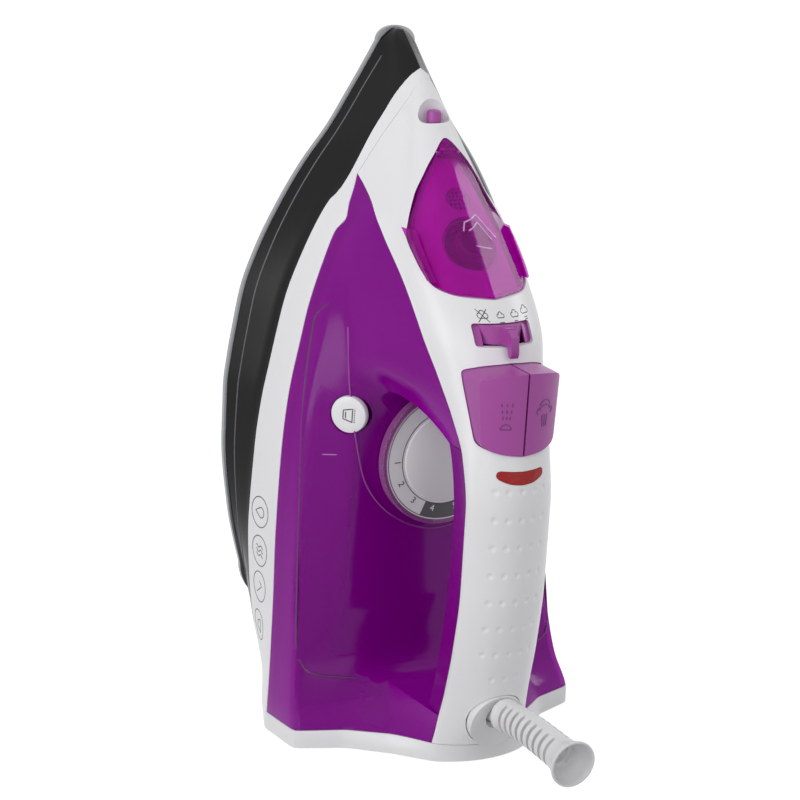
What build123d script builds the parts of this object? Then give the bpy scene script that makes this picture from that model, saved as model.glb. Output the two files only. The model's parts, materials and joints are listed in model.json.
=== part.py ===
"""A steam iron standing on its heel, as an assembly of separate pieces.

Every piece is drawn with the iron lying on its soleplate: x across the iron, y along it
from the heel to the nose, z up from the ironing face. stand() then tips the whole iron
up on to its heel. All lengths are millimetres and all angles are degrees.
"""
from build123d import *
import math
import os

os.makedirs("parts", exist_ok=True)

# ---------------------------------------------------------------- overall form
body_length = 275.0        # heel to nose, along the ironing face
body_width = 134.0         # widest place of the soleplate
handle_height = 124.0      # ironing face to the top of the grip
heel_lean = 7.0            # the ironing face leans this far from upright when the iron stands
fit_gap = 0.2              # between fixed covers that meet edge to edge
slide_gap = 0.4            # round buttons, levers and lids that move in a cover

# ---------------------------------------------------------------- walls and plates
skirt_wall = 2.2
band_wall = 2.4
tank_wall = 2.2
handle_wall = 2.4
heel_strip = 7.0           # height of the white heel cover when the iron stands
heel_wall = 2.4

# ---------------------------------------------------------------- soleplate and heater
sole_rim = 3.4             # thickness of the soleplate's outer rim
sole_core = 9.0            # thickness of the casting inside the rim
sole_step = 7.0            # the thick casting starts this far inside the rim's edge
sole_lip = 0.8             # the rim stands this far outside the skirt
element_radius = 3.3       # heating element tube
steam_hole_radius = 1.2
gasket_thickness = 0.8
chamber_cover_thickness = 2.0

# ---------------------------------------------------------------- controls
dial_y = 119.0             # temperature dial, along the iron
dial_radius = 27.2         # clear ring
dial_label_radius = 25.3
dial_face_height = 65.2
dial_shaft_radius = 3.0
button_top = 122.0
button_travel = 4.0
lever_y = 177.4            # middle of the steam lever's slot
lever_drum_radius = 10.0
lever_fin_height = 6.5
lever_slot_length = 7.6
lever_slot_half_width = 12.0
nozzle_y = 246.1
nozzle_radius = 2.8
clean_button_radius = 7.2
swivel_y = 31.5
swivel_radius = 11.2
guard_length = 54.0
guard_radius = 4.9
guard_bore = 3.6
door_thickness = 2.2
door_lip = 0.7             # full-size part of the door's edge; below it the edge steps in
door_rebate = 1.2          # so that the door clears its hole as it swings up

# ---------------------------------------------------------------- the outer form
DRAWN_LENGTH, DRAWN_HALF_WIDTH, DRAWN_HEIGHT = 275.0, 67.0, 124.0
# One row per cross-section: place along the iron, half-width at the skirt's foot, then
# (half-width, height) of the skirt's top, the tank's foot, the tank's side crease, the
# deck's edge, the handle's root and the handle's shoulder, and last the height of the crown.
FORM = [
    (-6, 43, (49, 10), (62, 43), (61.5, 70), (43, 79), (31, 92), (20.4, 105.8), 112.2),
    (14, 43.5, (49.5, 10), (62, 43), (61.3, 69.5), (43, 78), (30.5, 91), (20.2, 105.8), 112.6),
    (28, 47.5, (52.5, 11), (60.8, 41), (58.8, 62.5), (40, 67), (25, 75), (18.8, 106.5), 116.3),
    (42, 52, (56, 12), (60, 39.5), (57, 58.5), (38, 61.6), (19, 61.6), (18, 109), 119.2),
    (60, 57.2, (58.6, 12.6), (59, 37.5), (55.8, 54), (38, 61), (18.6, 61), (17.8, 112.5), 122),
    (85, 63, (60.4, 14), (58, 35), (54.2, 50.5), (38, 60.6), (18.4, 61), (17.6, 115), 124),
    (115, 66.2, (59.6, 15.6), (56.8, 34), (52.2, 46.6), (37, 60), (18.4, 61), (17.6, 114.8), 123.8),
    (135, 66.2, (57.6, 16.3), (55, 33.5), (50.6, 45.4), (37, 58.6), (19, 61), (17.9, 110.3), 121.6),
    (147, 65, (55.5, 16.8), (53, 33), (48.8, 44.6), (37.6, 57), (25, 64), (18.8, 103.6), 117.6),
    (160, 63, (53.2, 17.3), (50.4, 33), (46.4, 43.8), (38.4, 54.6), (33, 68), (20.8, 96), 111.4),
    (175, 60.2, (50, 17.8), (47.3, 33), (43.4, 42.5), (38, 51), (32, 66), (23.8, 86), 105.4),
    (192, 54, (44, 18.5), (41.4, 32), (38.4, 39.5), (35.6, 46.5), (31, 56.5), (24.8, 70), 90.8),
    (208, 46, (36.6, 19.5), (33.9, 31), (31.8, 36), (30.2, 40.5), (27.6, 47), (21.6, 57), 76.2),
    (223, 37, (27.4, 20.4), (25.3, 25.4), (23.4, 29.6), (21.6, 34), (19, 39), (14.8, 47), 62.6),
    (238, 26, (19, 20.4), (17.5, 24), (16.2, 27), (14.8, 30), (13, 33.4), (10, 38.4), 49.6),
    (250, 18.8, (12, 19.6), (11.1, 22), (10.2, 24), (9.3, 26), (8.2, 28.4), (6.6, 31.6), 38),
    (262, 11.8, (7.6, 12), (6.9, 14), (6.2, 16), (5.5, 18), (4.7, 20), (3.6, 22.4), 25.6),
    (275, 4.6, (4.3, 4.6), (4.1, 5.4), (3.9, 6), (3.7, 6.6), (3.5, 7.3), (3.2, 8), 9),
]
FOOT_LEVEL = 3.6           # the skirt's lower edge, just above the soleplate's rim
SKIRT_TOP, TANK_FOOT, SHOULDER = 1, 2, 6        # where three of the creases stand in a row

stretch = body_length / DRAWN_LENGTH
widen = body_width / 2 / DRAWN_HALF_WIDTH
rise = handle_height / DRAWN_HEIGHT


def form_row(row):
    """The drawn cross-section at its real size: its place and its half outline, foot to crown."""
    place, foot, *corners, crown = row
    half = [(foot * widen, FOOT_LEVEL)] + [(w * widen, h * rise) for w, h in corners]
    return place * stretch, half, crown * rise


def form_at(y):
    """The cross-section at any place, between the two drawn rows beside it."""
    rows = [form_row(row) for row in FORM]
    for (y0, half0, crown0), (y1, half1, crown1) in zip(rows, rows[1:]):
        if y <= y1 or y1 == rows[-1][0]:
            t = (y - y0) / (y1 - y0)
            half = [(a[0] + (b[0] - a[0]) * t, a[1] + (b[1] - a[1]) * t) for a, b in zip(half0, half1)]
            return half, crown0 + (crown1 - crown0) * t


def crown_height(y, x=0.0):
    """Height of the rounded crown over a point of the plan."""
    half, crown = form_at(y)
    shoulder_w, shoulder_h = half[-1]
    arch = crown - shoulder_h
    radius = (shoulder_w**2 + arch**2) / (2 * arch)
    return crown - radius + math.sqrt(radius**2 - x**2)


def inset_half(half, crown, depth):
    """The half outline moved inwards by depth, mitred at its corners."""
    shoulder_w, shoulder_h = half[-1]
    turn = 2 * math.atan2(crown - shoulder_h, shoulder_w)
    points = [(0.0, half[0][1])] + half + [(shoulder_w - math.cos(turn), shoulder_h + math.sin(turn))]
    moved = []
    for before, here, after in zip(points, points[1:], points[2:]):
        normals = []
        for a, b in ((before, here), (here, after)):
            run, climb = b[0] - a[0], b[1] - a[1]
            length = math.hypot(run, climb)
            normals.append((-climb / length, run / length))
        (ax, az), (bx, bz) = normals
        scale = depth / (1 + ax * bx + az * bz)
        moved.append((here[0] + (ax + bx) * scale, here[1] + (az + bz) * scale))
    return moved, crown - depth


def section_face(y, half, crown):
    """A closed cross-section: straight sides and one arc over the crown."""
    right = [(w, h) for w, h in half]
    left = [(-w, h) for w, h in reversed(half)]
    right, left = [(w, y, h) for w, h in right], [(w, y, h) for w, h in left]
    edges = [Line(left[-1], right[0])]
    edges += [Line(a, b) for a, b in zip(right, right[1:])]
    edges.append(ThreePointArc(right[-1], (0, y, crown), left[0]))
    edges += [Line(a, b) for a, b in zip(left, left[1:])]
    return make_face(edges)


def form_solid(depth=0.0, first=0, last=len(FORM)):
    """The outer form between two rows, without its openings, moved inwards by depth."""
    faces = []
    for row in FORM[first:last]:
        y, half, crown = form_row(row)
        half, crown = inset_half(half, crown, depth)
        faces.append(section_face(y, half, crown))
    return loft(faces)


# ---------------------------------------------------------------- lines that part the covers
LINE_STEP = 1.5            # the parting lines run this far off the form's own creases
WIDE = 90.0                # half-width of the cutting tools


def crease_line(corner, lift, first, last):
    """Points along one crease of the form, lifted, for the rows first to last."""
    rows = [form_row(row) for row in FORM[first:last]]
    return [(y, half[corner][1] + lift) for y, half, crown in rows]


def at(y, z):
    """A point of the side view, drawn at the form's own scale."""
    return (y * stretch, z * rise)


PURPLE_TIP = at(222.8, 26.2)                      # where the tank's front point ends
SKIRT_LINE = [
    crease_line(SKIRT_TOP, LINE_STEP, 0, 12) + [at(211.5, 21.2)],
    [at(216.5, 23.2), at(238, 22.6), at(250, 22.8), at(258, 24), at(262.4, 27.4), at(264, 34)],
]
TANK_LINE = [
    crease_line(TANK_FOOT, LINE_STEP, 0, 12) + [at(203, 32.6)],
    [at(206.5, 34.6), at(213, 31.4), PURPLE_TIP],
]
HANDLE_LINE = [crease_line(SHOULDER, -LINE_STEP, 0, 12) + [at(203, 55), at(213.5, 42), PURPLE_TIP]]
NOSE_SEAM = [[PURPLE_TIP, at(240, 28), at(266, 31.5)]]


def smooth(*runs):
    """One chain of curves in the side view: a spline for each run, straight steps between."""
    edges = []
    for before, run in zip((None,) + runs, runs):
        if before and before[-1] != run[0]:
            edges.append(Line(before[-1], run[0]))
        edges.append(Spline(*run) if len(run) > 2 else Line(*run))
    return edges


def shifted(run, lift):
    return [(y, z + lift) for y, z in run]


def side_region(edges, corners):
    """A cutting tool: the side view enclosed by a chain of curves and the corners after it."""
    start, end = edges[0] @ 0, edges[-1] @ 1
    face = make_face(edges + [Polyline((end.X, end.Y), *corners, (start.X, start.Y))])
    return extrude(Plane.YZ * face, amount=WIDE, both=True)


def below(runs, lift):
    """Everything under a chain of runs, the chain lifted a little."""
    runs = [shifted(run, lift) for run in runs]
    (y0, _), (y1, z1) = runs[0][0], runs[-1][-1]
    return side_region(smooth(*runs), [(body_length + 20, z1), (body_length + 20, -20), (y0, -20)])


def above(runs, lift):
    """Everything over a chain of runs, the chain lifted a little."""
    runs = [shifted(run, lift) for run in runs]
    (y0, _), (y1, z1) = runs[0][0], runs[-1][-1]
    top = handle_height + 40
    return side_region(smooth(*runs), [(body_length + 20, z1), (body_length + 20, top), (y0, top)])


heel_frame = Location((0, 0, 0), (-heel_lean, 0, 0))   # its x-z plane is the standing surface


def heel_slab(low, high):
    """The part of space between two heights above the standing surface."""
    return heel_frame * Pos(0, (low + high) / 2, 60) * Box(2 * WIDE, high - low, 320)


def keep(solid, *tools):
    for tool in tools:
        solid = solid & tool
    return solid


def cut(solid, *tools):
    for tool in tools:
        solid = solid - tool
    return solid


def post(x, y, z0, z1, radius):
    """An upright cylinder between two heights."""
    return Pos(x, y, (z0 + z1) / 2) * Cylinder(radius, z1 - z0)


def tube(points, bend, radius, bore=0.0):
    """A round rod or hose along straight runs joined by arcs."""
    path = FilletPolyline(*points, radius=bend) if len(points) > 2 else Line(*points)
    start = Plane(origin=path @ 0, z_dir=path % 0)
    face = Circle(radius) - Circle(bore) if bore else Circle(radius)
    return sweep(start * face, path=path)


pieces = {}


def node(name, *solids):
    """Register a node; several solids stay separate in one node."""
    bodies = [body for solid in solids for body in solid.solids()]
    pieces[name] = bodies[0] if len(bodies) == 1 else Compound(children=bodies)


def biggest(shape):
    """The main solid of a cut, without slivers."""
    return max(shape.solids(), key=lambda solid: solid.volume)




def line_height(run, y):
    """Height of a parting line's drawn points at any place, straight between them."""
    for (y0, z0), (y1, z1) in zip(run, run[1:]):
        if y <= y1:
            return z0 + (z1 - z0) * (y - y0) / (y1 - y0)


def outline_prism(face, z0, z1):
    """A plan outline extruded between two heights."""
    return extrude(Pos(0, 0, z0) * face, amount=z1 - z0)


def mirrored(face_half):
    """A closed plan outline from the points of its right half, nose to heel."""
    left = [(-x, y) for x, y in reversed(face_half) if x > 0]
    return make_face(Polyline(*face_half, *left, close=True))


# ---------------------------------------------------------------- soleplate, heater, chamber
STERN_Y, NOSE_RADIUS = 28.0, 6.0
core_front = 254.0 * stretch        # the thick casting stops here, behind the solid nose tip
SOLE_PLAN = [(32, 39), (50.5, 58), (61.5, 82), (67, 116), (64.8, 150), (57, 186), (45, 211),
             (27.4, 237), (12.8, 261)]


def sole_outline(inset=0.0):
    """The soleplate's plan, a boat with a round stern and a small round nose, moved inwards."""
    tip = body_length + sole_lip
    shoulder = (NOSE_RADIUS * 0.9, tip - NOSE_RADIUS * 0.62)
    half = [(0, STERN_Y * stretch)] + [(w * widen, y * stretch) for w, y in SOLE_PLAN] + [shoulder]
    moved = [(0, half[0][1] + inset)]
    beyond = (shoulder[0] - 0.44, shoulder[1] + 0.9)
    for (x0, y0), (x, y), (x1, y1) in zip(half, half[1:], half[2:] + [beyond]):
        length = math.hypot(x1 - x0, y1 - y0)
        moved.append((x - (y1 - y0) / length * inset, y + (x1 - x0) / length * inset))
    x, y = moved[-1]
    if x > 1:
        side = Spline(*moved, tangents=[(1, 0), (-0.44, 0.9)])
        return make_face([side, ThreePointArc((x, y), (0, tip - inset), (-x, y)), mirror(side, Plane.YZ)])
    (x0, y0), (x1, y1) = moved[-3:-1]
    side = Spline(*moved[:-1], (0, y1 + x1 * (y1 - y0) / (x0 - x1) * 0.95), tangents=[(1, 0), (-0.44, 0.9)])
    return make_face([side, mirror(side, Plane.YZ)])


element_z = sole_core - 1.0
leg_back, leg_front = (38 * widen, 66 * stretch), (14 * widen, 224 * stretch)
cover_z0 = sole_core + gasket_thickness
cover_z1 = cover_z0 + chamber_cover_thickness
chamber_back, chamber_front = (26 * widen, 60 * stretch), (9 * widen, 196 * stretch)
chamber_outline = fillet(mirrored([chamber_front, chamber_back]).vertices(), 5)
rod_y = lever_y * stretch
drip_radius, drip_bore = 3.2, 1.6
steam_tube_x, steam_tube_radius, steam_tube_bore = 7.6, 1.6, 0.9
screw_places = [(side * x, y * stretch) for x, y in ((20, 68), (9.5, 152)) for side in (-1, 1)]
thermostat_place = dial_y * stretch


def make_element(radius):
    """The heater: one tube, two legs joined by a bend behind the nose."""
    (x0, y0), (x1, y1) = leg_back, leg_front
    corners = [(-x0, y0), (-x1, y1), (x1, y1), (x0, y0)]
    return tube([(x, y, element_z) for x, y in corners], 12, radius)


def steam_holes():
    """Rows of steam holes that follow the soleplate's nose and sides."""
    holes = []
    for inset, first, count in ((12.0, 244, 10), (24.0, 203, 7)):
        for k in range(count):
            y = (first - k * 11.0) * stretch
            x = form_at(y)[0][0][0] - inset
            if x > 4:
                holes += [post(side * x, y, -1, sole_core + 1, steam_hole_radius) for side in (-1, 1)]
    return holes


def screw(radius, length, head_radius, head_height):
    """A pan-head screw with a cross recess, head up, its seat at the origin."""
    head = Pos(0, 0, head_height / 2) * Cylinder(head_radius, head_height)
    head = fillet(head.edges().group_by(Axis.Z)[-1], head_height * 0.4)
    cross = Box(head_radius * 1.1, 0.7, head_height) + Box(0.7, head_radius * 1.1, head_height)
    return Pos(0, 0, -length / 2) * Cylinder(radius, length) + head - Pos(0, 0, head_height) * cross


def make_sole():
    rim = extrude(sole_outline(0.9), amount=0.9)
    rim += Pos(0, 0, 0.9) * extrude(sole_outline(), amount=sole_rim - 0.9)
    core = extrude(sole_outline(sole_step), amount=sole_core)
    core -= Pos(0, core_front + 50, 20) * Box(80, 100, 40 - 2 * sole_rim + 6)
    sole = cut(rim + core, make_element(element_radius + 0.02), *steam_holes())
    for x, y in screw_places:
        sole -= post(x, y, sole_core - 6, sole_core + 1, 1.3)
    return sole


node("soleplate", make_sole())
pins = [post(side * leg_back[0], leg_back[1] + 3, element_z, 27, 1.2) for side in (-1, 1)]
node("heating_element", make_element(element_radius) + pins[0] + pins[1])

gasket = outline_prism(chamber_outline - offset(chamber_outline, amount=-3), sole_core, cover_z0)
cover = outline_prism(chamber_outline, cover_z0, cover_z1)
cover = cut(cover, post(0, rod_y, 0, 30, drip_bore),
            post(steam_tube_x, rod_y, 0, 30, steam_tube_radius + 0.05))
for x, y in screw_places:
    gasket, cover = gasket - post(x, y, 0, 30, 1.7), cover - post(x, y, 0, 30, 1.7)
node("chamber_gasket", gasket)
node("steam_chamber_cover", cover)
node("cover_screws", *[Pos(x, y, cover_z1) * screw(1.3, 6.5, 2.6, 1.8) for x, y in screw_places])

body = post(0, thermostat_place, cover_z1, cover_z1 + 6, 11)
body += post(0, thermostat_place, cover_z1, cover_z1 + 9, 5)
body += Pos(0, thermostat_place, cover_z1 + 2.6) * Box(8, 34, 1)
stem_top = cover_z1 + 14
node("thermostat", body + post(0, thermostat_place, cover_z1 + 8, stem_top, 2.0))
fuse = Pos(-13, 88 * stretch, cover_z1 + 2.6) * Rot(90, 0, 0) * (Cylinder(2.4, 9) + Cylinder(0.6, 17))
node("thermal_fuse", fuse + Pos(-13, 88 * stretch, cover_z1 + 0.6) * Box(3, 4, 1.2))
node("drip_tube", post(0, rod_y, cover_z1, 33.2 * rise, drip_radius) - post(0, rod_y, 0, 60, drip_bore))


# ---------------------------------------------------------------- the covers
outer = form_solid()
inner_skirt, inner_band, inner_tank, inner_handle = [
    form_solid(wall, 0, -1) for wall in (skirt_wall, band_wall, tank_wall, handle_wall)
]
stand = heel_slab(heel_strip + fit_gap, 500)           # everything ahead of the heel cover
seam = fit_gap / 2

shield_window = outline_prism(offset(chamber_outline, amount=4), 0, 60)
pocket = keep(inner_skirt, below(SKIRT_LINE, -seam - skirt_wall), outline_prism(sole_outline(2.0), 0, 60))
shield = cut(keep(outer, below(SKIRT_LINE, -seam), stand), pocket, shield_window)
shield -= outline_prism(sole_outline(sole_step - 1), 0, 7)
for side in (-1, 1):
    shield -= post(side * leg_back[0], leg_back[1] + 3, 0, 40, 3.0)
heat_shield = biggest(shield)
node("heat_shield", heat_shield)

band = keep(outer, above(SKIRT_LINE, seam), below(TANK_LINE + NOSE_SEAM, -seam), stand)
node("body_shell", biggest(cut(band, inner_band)))

# the finger opening under the handle, in the side view
FINGER = [(31.5, 132, 0), (31.5, 60.9, 13), (147.8, 60.9, 7), (146.9, 75.5, 8), (137, 92, 4), (137, 132, 0)]


def finger_opening(grow=0.0):
    face = make_face(Polyline(*[at(y, z) for y, z, radius in FINGER], close=True))
    for y, z, radius in FINGER:
        if radius:
            corner = face.vertices().sort_by_distance((*at(y, z), 0))[0]
            face = fillet(corner, radius)
    if grow:
        face = offset(face, amount=grow)
    return extrude(Plane.YZ * face, amount=WIDE, both=True)


# ---------------------------------------------------------------- water tank
bulkhead_back, bulkhead_front = 26.6 * stretch, 29.6 * stretch
pump_x, pump_y, pump_radius = 8.0, 156.0 * stretch, 5.5
pump_floor, pump_top = 72.0 * rise, 101.0 * rise
well_radius = pump_radius + 0.6
tunnel_radius = dial_shaft_radius + 1.6
tank_floor = line_height(TANK_LINE[0], rod_y) + seam + tank_wall
dial_foot, dial_top = 61.6 * rise, dial_face_height * rise
fill_y = 207.0 * stretch
neck_radius, neck_bore = 8.4, 6.8


def crown_frame(y):
    """A frame on the crown's centre line, its z axis square to the crown."""
    slope = math.atan2(crown_height(y + 1) - crown_height(y - 1), 2)
    return Pos(0, y, crown_height(y)) * Rot(math.degrees(slope), 0, 0)


def sunk(radius, top, bottom):
    """A cylinder in a crown frame between two depths below the crown."""
    return Pos(0, 0, -(top + bottom) / 2) * Cylinder(radius, bottom - top)


clean_frame = Pos(-38 * widen, 137 * stretch, 56.5 * rise) * Rot(0, -47.8, 0)
clean_floor, clean_wall = 9.0, 1.8

water = cut(
    keep(inner_tank, above(TANK_LINE, seam + tank_wall), below(HANDLE_LINE, -seam - tank_wall)),
    finger_opening(tank_wall), Pos(0, bulkhead_front - 100, 60) * Box(300, 200, 400),
)
for side in (-1, 1):
    water -= post(side * pump_x, pump_y, pump_floor - tank_wall, 150, well_radius + tank_wall)
water = cut(
    water,
    post(0, thermostat_place, 0, 100, tunnel_radius + tank_wall),
    crown_frame(fill_y) * sunk(neck_radius, 0, 18.5),
    clean_frame * sunk(clean_button_radius + slide_gap + clean_wall, -3, clean_floor + clean_wall),
)
dry_column = keep(inner_tank, Pos(0, bulkhead_back - 100, 60) * Box(300, 200, 400))
tank = keep(outer, above(TANK_LINE, seam), below(HANDLE_LINE, -seam), stand) - finger_opening()
tank += crown_frame(fill_y) * sunk(neck_radius, 5.2, 17)
tank += clean_frame * sunk(clean_button_radius + slide_gap + clean_wall, 0.2, clean_floor)
heel_screw_places = [(side * 30 * widen, 66 * rise) for side in (-1, 1)]
tank = cut(tank, water, dry_column)
for x, z in heel_screw_places:
    tank += keep(heel_frame * Pos(x, 60, z) * Rot(90, 0, 0) * Cylinder(4, 120), dry_column, stand,
                 Pos(0, bulkhead_back - 99, 60) * Box(300, 200, 400))
    tank -= heel_frame * Pos(x, 0, z) * Rot(90, 0, 0) * Cylinder(1.3, 40)
for side in (-1, 1):
    tank -= post(side * pump_x, pump_y, pump_floor, 150, well_radius)
tank = cut(
    tank,
    post(0, thermostat_place, 0, 57 * rise, tunnel_radius),
    post(0, thermostat_place, 50, 100, dial_shaft_radius + 0.05),
    post(0, thermostat_place, dial_foot - 0.3, dial_top + 3, dial_radius + slide_gap),
    post(0, rod_y, tank_floor - 9, tank_floor + 2, 4.55),
    post(0, rod_y, tank_floor, tank_floor + 2, 5.35),
    post(0, rod_y, 60, 120, 2.1),
    post(steam_tube_x, rod_y, 0, tank_floor + 2, steam_tube_radius + 0.4),
    post(pump_x, pump_y, pump_floor - 9, pump_floor + 1, steam_tube_radius + 0.4),
    crown_frame(fill_y) * sunk(neck_bore, 0, 22),
    clean_frame * sunk(clean_button_radius + slide_gap, -6, clean_floor - clean_wall),
    clean_frame * sunk(2.1, 0, clean_floor + 4),
)
node("water_tank", biggest(tank))

seat = post(0, rod_y, tank_floor - 3.2, tank_floor, 4.5) + post(0, rod_y, tank_floor, tank_floor + 2, 5.3)
node("valve_seat", seat - post(0, rod_y, 0, 100, 1.65))
rod_foot, rod_top = tank_floor - 0.4, 83.6 * rise
rod = post(0, rod_y, rod_foot, rod_top, 1.6)
node("valve_rod", rod + post(0, rod_y, tank_floor + 6, tank_floor + 7.2, 3.2))
pipe = [(pump_x, pump_y, pump_floor + 1.6), (pump_x, pump_y, 56 * rise),
        (steam_tube_x, rod_y, 44 * rise), (steam_tube_x, rod_y, cover_z0 + 0.2)]
node("steam_tube", tube(pipe, 5, steam_tube_radius, steam_tube_bore))

# ---------------------------------------------------------------- handle
trough = []
for y in (31.9, 60, 85, 115, 136.8):
    y *= stretch
    top = line_height(HANDLE_LINE[0], y) - seam
    wide = form_at(y)[0][-1][0] - 0.2
    trough.append((y, wide, top, top - 8.8 * rise, 97.2 * rise if y < 130 else 94.5 * rise))


def trough_solid(inset, lift):
    faces = []
    for y, wide, top, side_z, bottom in trough:
        w, b = wide - inset, bottom + inset
        edges = Polyline((-w, y, side_z), (-w, y, top + lift), (w, y, top + lift), (w, y, side_z))
        faces.append(make_face([edges, ThreePointArc((w, y, side_z), (0, y, b), (-w, y, side_z))]))
    return loft(faces)


grip_span = Pos(0, 84 * stretch, 100) * Box(60, 99 * stretch, 90)
underside = trough_solid(0, 0) - keep(trough_solid(handle_wall, 5), grip_span)
node("handle_underside", keep(underside, below(HANDLE_LINE, -seam)))

# plan outlines of the controls, right half from nose to heel
BUTTON = [(0.35, 167.9, 0), (10, 167.3, 8), (16.6, 165.2, 1.6), (15, 140.6, 2.4), (9, 138.1, 8),
          (0.35, 137.2, 0)]
LENS = [(0, 131.5), (9.5, 131.6), (8.2, 129.7), (5, 127.7), (0, 126.9)]
DOOR = [(0, 237.4), (3.4, 236), (7, 229.5), (12, 221.5), (17, 215), (20.5, 208.5), (21.4, 204),
        (21, 196), (19.5, 191.4), (14, 189.4), (0, 188.5)]


def plan(points):
    return [(x * widen, y * stretch) for x, y in points]


def button_plan():
    face = make_face(Polyline(*plan([(x, y) for x, y, radius in BUTTON]), close=True))
    for x, y, radius in BUTTON:
        if radius:
            corner = face.vertices().sort_by_distance((x * widen, y * stretch, 0))[0]
            face = fillet(corner, radius)
    return face


door_plan = mirrored(plan(DOOR))
lens_plan = mirrored(plan(LENS))
button_face = button_plan()
hinge_y = 235.4 * stretch
hinge_frame = crown_frame(hinge_y)
barrel_radius, hinge_pin_radius = 1.7, 0.7

shell = cut(keep(outer, above(HANDLE_LINE + NOSE_SEAM, seam), stand), inner_handle)
block = keep(outer, above(NOSE_SEAM, seam), Pos(0, nozzle_y * stretch, 38.4 * rise) * Box(14, 12, 19))
shell += block


# ---------------------------------------------------------------- cord swivel and guard
swivel_frame = crown_frame(swivel_y * stretch)
seat_top, ring_top, ring_bottom = -0.5, 3.2, 6.4
swivel_neck = swivel_radius - 1.9
ring = keep(swivel_frame * sunk(swivel_radius + 2.4, ring_top, ring_bottom), outer)
shell = shell + ring - swivel_frame * sunk(swivel_radius + slide_gap, -8, ring_top)
shell -= swivel_frame * sunk(swivel_neck + 0.1, 0, ring_bottom + 2)

ball_radius, ball_depth, ball_offset = 5.2, 5.2, 2.4
tilt_frame = swivel_frame * Pos(0, ball_offset, -ball_depth)
turret = sunk(swivel_radius, seat_top, ring_top - 0.3) + sunk(swivel_neck, ring_top - 0.3, ring_bottom + 0.3)
turret = swivel_frame * (turret + sunk(swivel_neck + 1.3, ring_bottom + 0.3, ring_bottom + 2))
socket = Sphere(ball_radius + 0.05) + Pos(0, 0, 4.5) * Cone(3.9, 6.1, 9)
turret -= tilt_frame * (socket + Pos(0, 0, -6) * Cylinder(2.6, 12))
node("cord_swivel", turret)

collar_start = 9.8
guard_end = at(39.1, 117.1 + guard_length)
pivot = tilt_frame.position
guard_path = Spline((0, pivot.Y + 1.2, pivot.Z + collar_start), (0, 38.6 * stretch, 143 * rise),
                    (0, *guard_end), tangents=[(0, 0.14, 1), (0, -0.12, 1)])
guard_start = Plane(origin=guard_path @ 0, z_dir=guard_path % 0)
mouth = Plane(origin=guard_path @ 1, z_dir=guard_path % 1)
guard = sweep(guard_start * Circle(guard_radius), path=guard_path)
flare = 2.6
guard += mouth * Pos(0, 0, -4) * Cone(guard_radius, guard_radius + flare, 8)
guard += guard_start * Pos(0, 0, 1.6) * Cylinder(guard_radius + 0.8, 3.2)
guard += tilt_frame * (Sphere(ball_radius) + Pos(0, 0.6, 6.4) * Rot(-6, 0, 0) * Cylinder(3.2, 8))
guard -= sweep(guard_start * Circle(guard_bore), path=guard_path)
guard -= mouth * Pos(0, 0, -3.4) * Cone(guard_bore, guard_radius + flare - 1.2, 7)
guard -= tilt_frame * Pos(0, 0.4, 4) * Rot(-6, 0, 0) * Cylinder(2.2, 24)
slot_count, slot_width = 7, 2.0
for k in range(slot_count):
    share = 0.17 + 0.66 * k / (slot_count - 1)
    here = Plane(origin=guard_path @ share, x_dir=(1, 0, 0), z_dir=guard_path % share)
    for side in (-1, 1):
        slit = Box(guard_radius, 2 * guard_radius, slot_width)
        guard -= here * Pos(side * (guard_radius / 2 + 1.9), 0, 0) * slit
node("cord_guard", guard)

# ---------------------------------------------------------------- steam lever
drum_z = 94.0 * rise
drum_length = lever_slot_length - 2 * slide_gap
axle_radius = 2.0
lug_start, lug_end = lever_slot_length / 2 + 0.2, lever_slot_length / 2 + 3
along = Pos(0, rod_y, drum_z) * Rot(90, 0, 0)
drum = along * Cylinder(lever_drum_radius, drum_length)
drum -= Pos(0, rod_y, drum_z - 5 - 10) * Box(40, 20, 20)
fin = Polyline((-3.2, 7), (-1.5, 10 + lever_fin_height), (1.5, 10 + lever_fin_height), (3.2, 7), close=True)
fin = extrude(fillet(make_face(fin).vertices(), 0.9), amount=drum_length / 2, both=True)
drum += along * fin
node("steam_lever", drum + along * Cylinder(axle_radius, 2 * lug_end))
slot = Pos(0, rod_y, drum_z + 15) * Box(2 * lever_slot_half_width, lever_slot_length, 30)
shell -= fillet(slot.edges().filter_by(Axis.Z), 1.5)
for side in (-1, 1):
    middle = rod_y + side * (lug_start + lug_end) / 2
    shell += keep(Pos(0, middle, drum_z + 8) * Box(9, lug_end - lug_start, 24), outer)
shell -= along * Cylinder(axle_radius + 0.05, 2 * lug_end + 1)

# ---------------------------------------------------------------- spray and steam buttons
arch_radius = 24.0
button_wall = 1.6


def arch(radius):
    """Everything under the buttons' common rounded top."""
    return Pos(0, pump_y, button_top - arch_radius) * Rot(90, 0, 0) * Cylinder(radius, 80)


rest_on = button_travel + 1.4               # the buttons' lower edge, above the tank's roof
piston_foot, piston_head, rod_end = 84.0 * rise, 90.0 * rise, 115.8 * rise
hollow = keep(outline_prism(offset(button_face, amount=-button_wall), 70, 150), arch(arch_radius - 1.8))
skin = outline_prism(button_face, 80, 140) - hollow
button = keep(skin, arch(arch_radius), above(HANDLE_LINE, rest_on))
boss = keep(post(pump_x, pump_y, 108 * rise, 140, 3.2), arch(arch_radius - 1))
button = biggest(button + boss - post(pump_x, pump_y, 100, rod_end + 0.1, 1.85))
pump = post(pump_x, pump_y, pump_floor, pump_top, pump_radius)
pump -= post(pump_x, pump_y, pump_floor + 2, pump_top + 1, 3.6)
piston = post(pump_x, pump_y, piston_foot, piston_head, 3.5)
piston += post(pump_x, pump_y, piston_head - 1, rod_end, 1.8)


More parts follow.
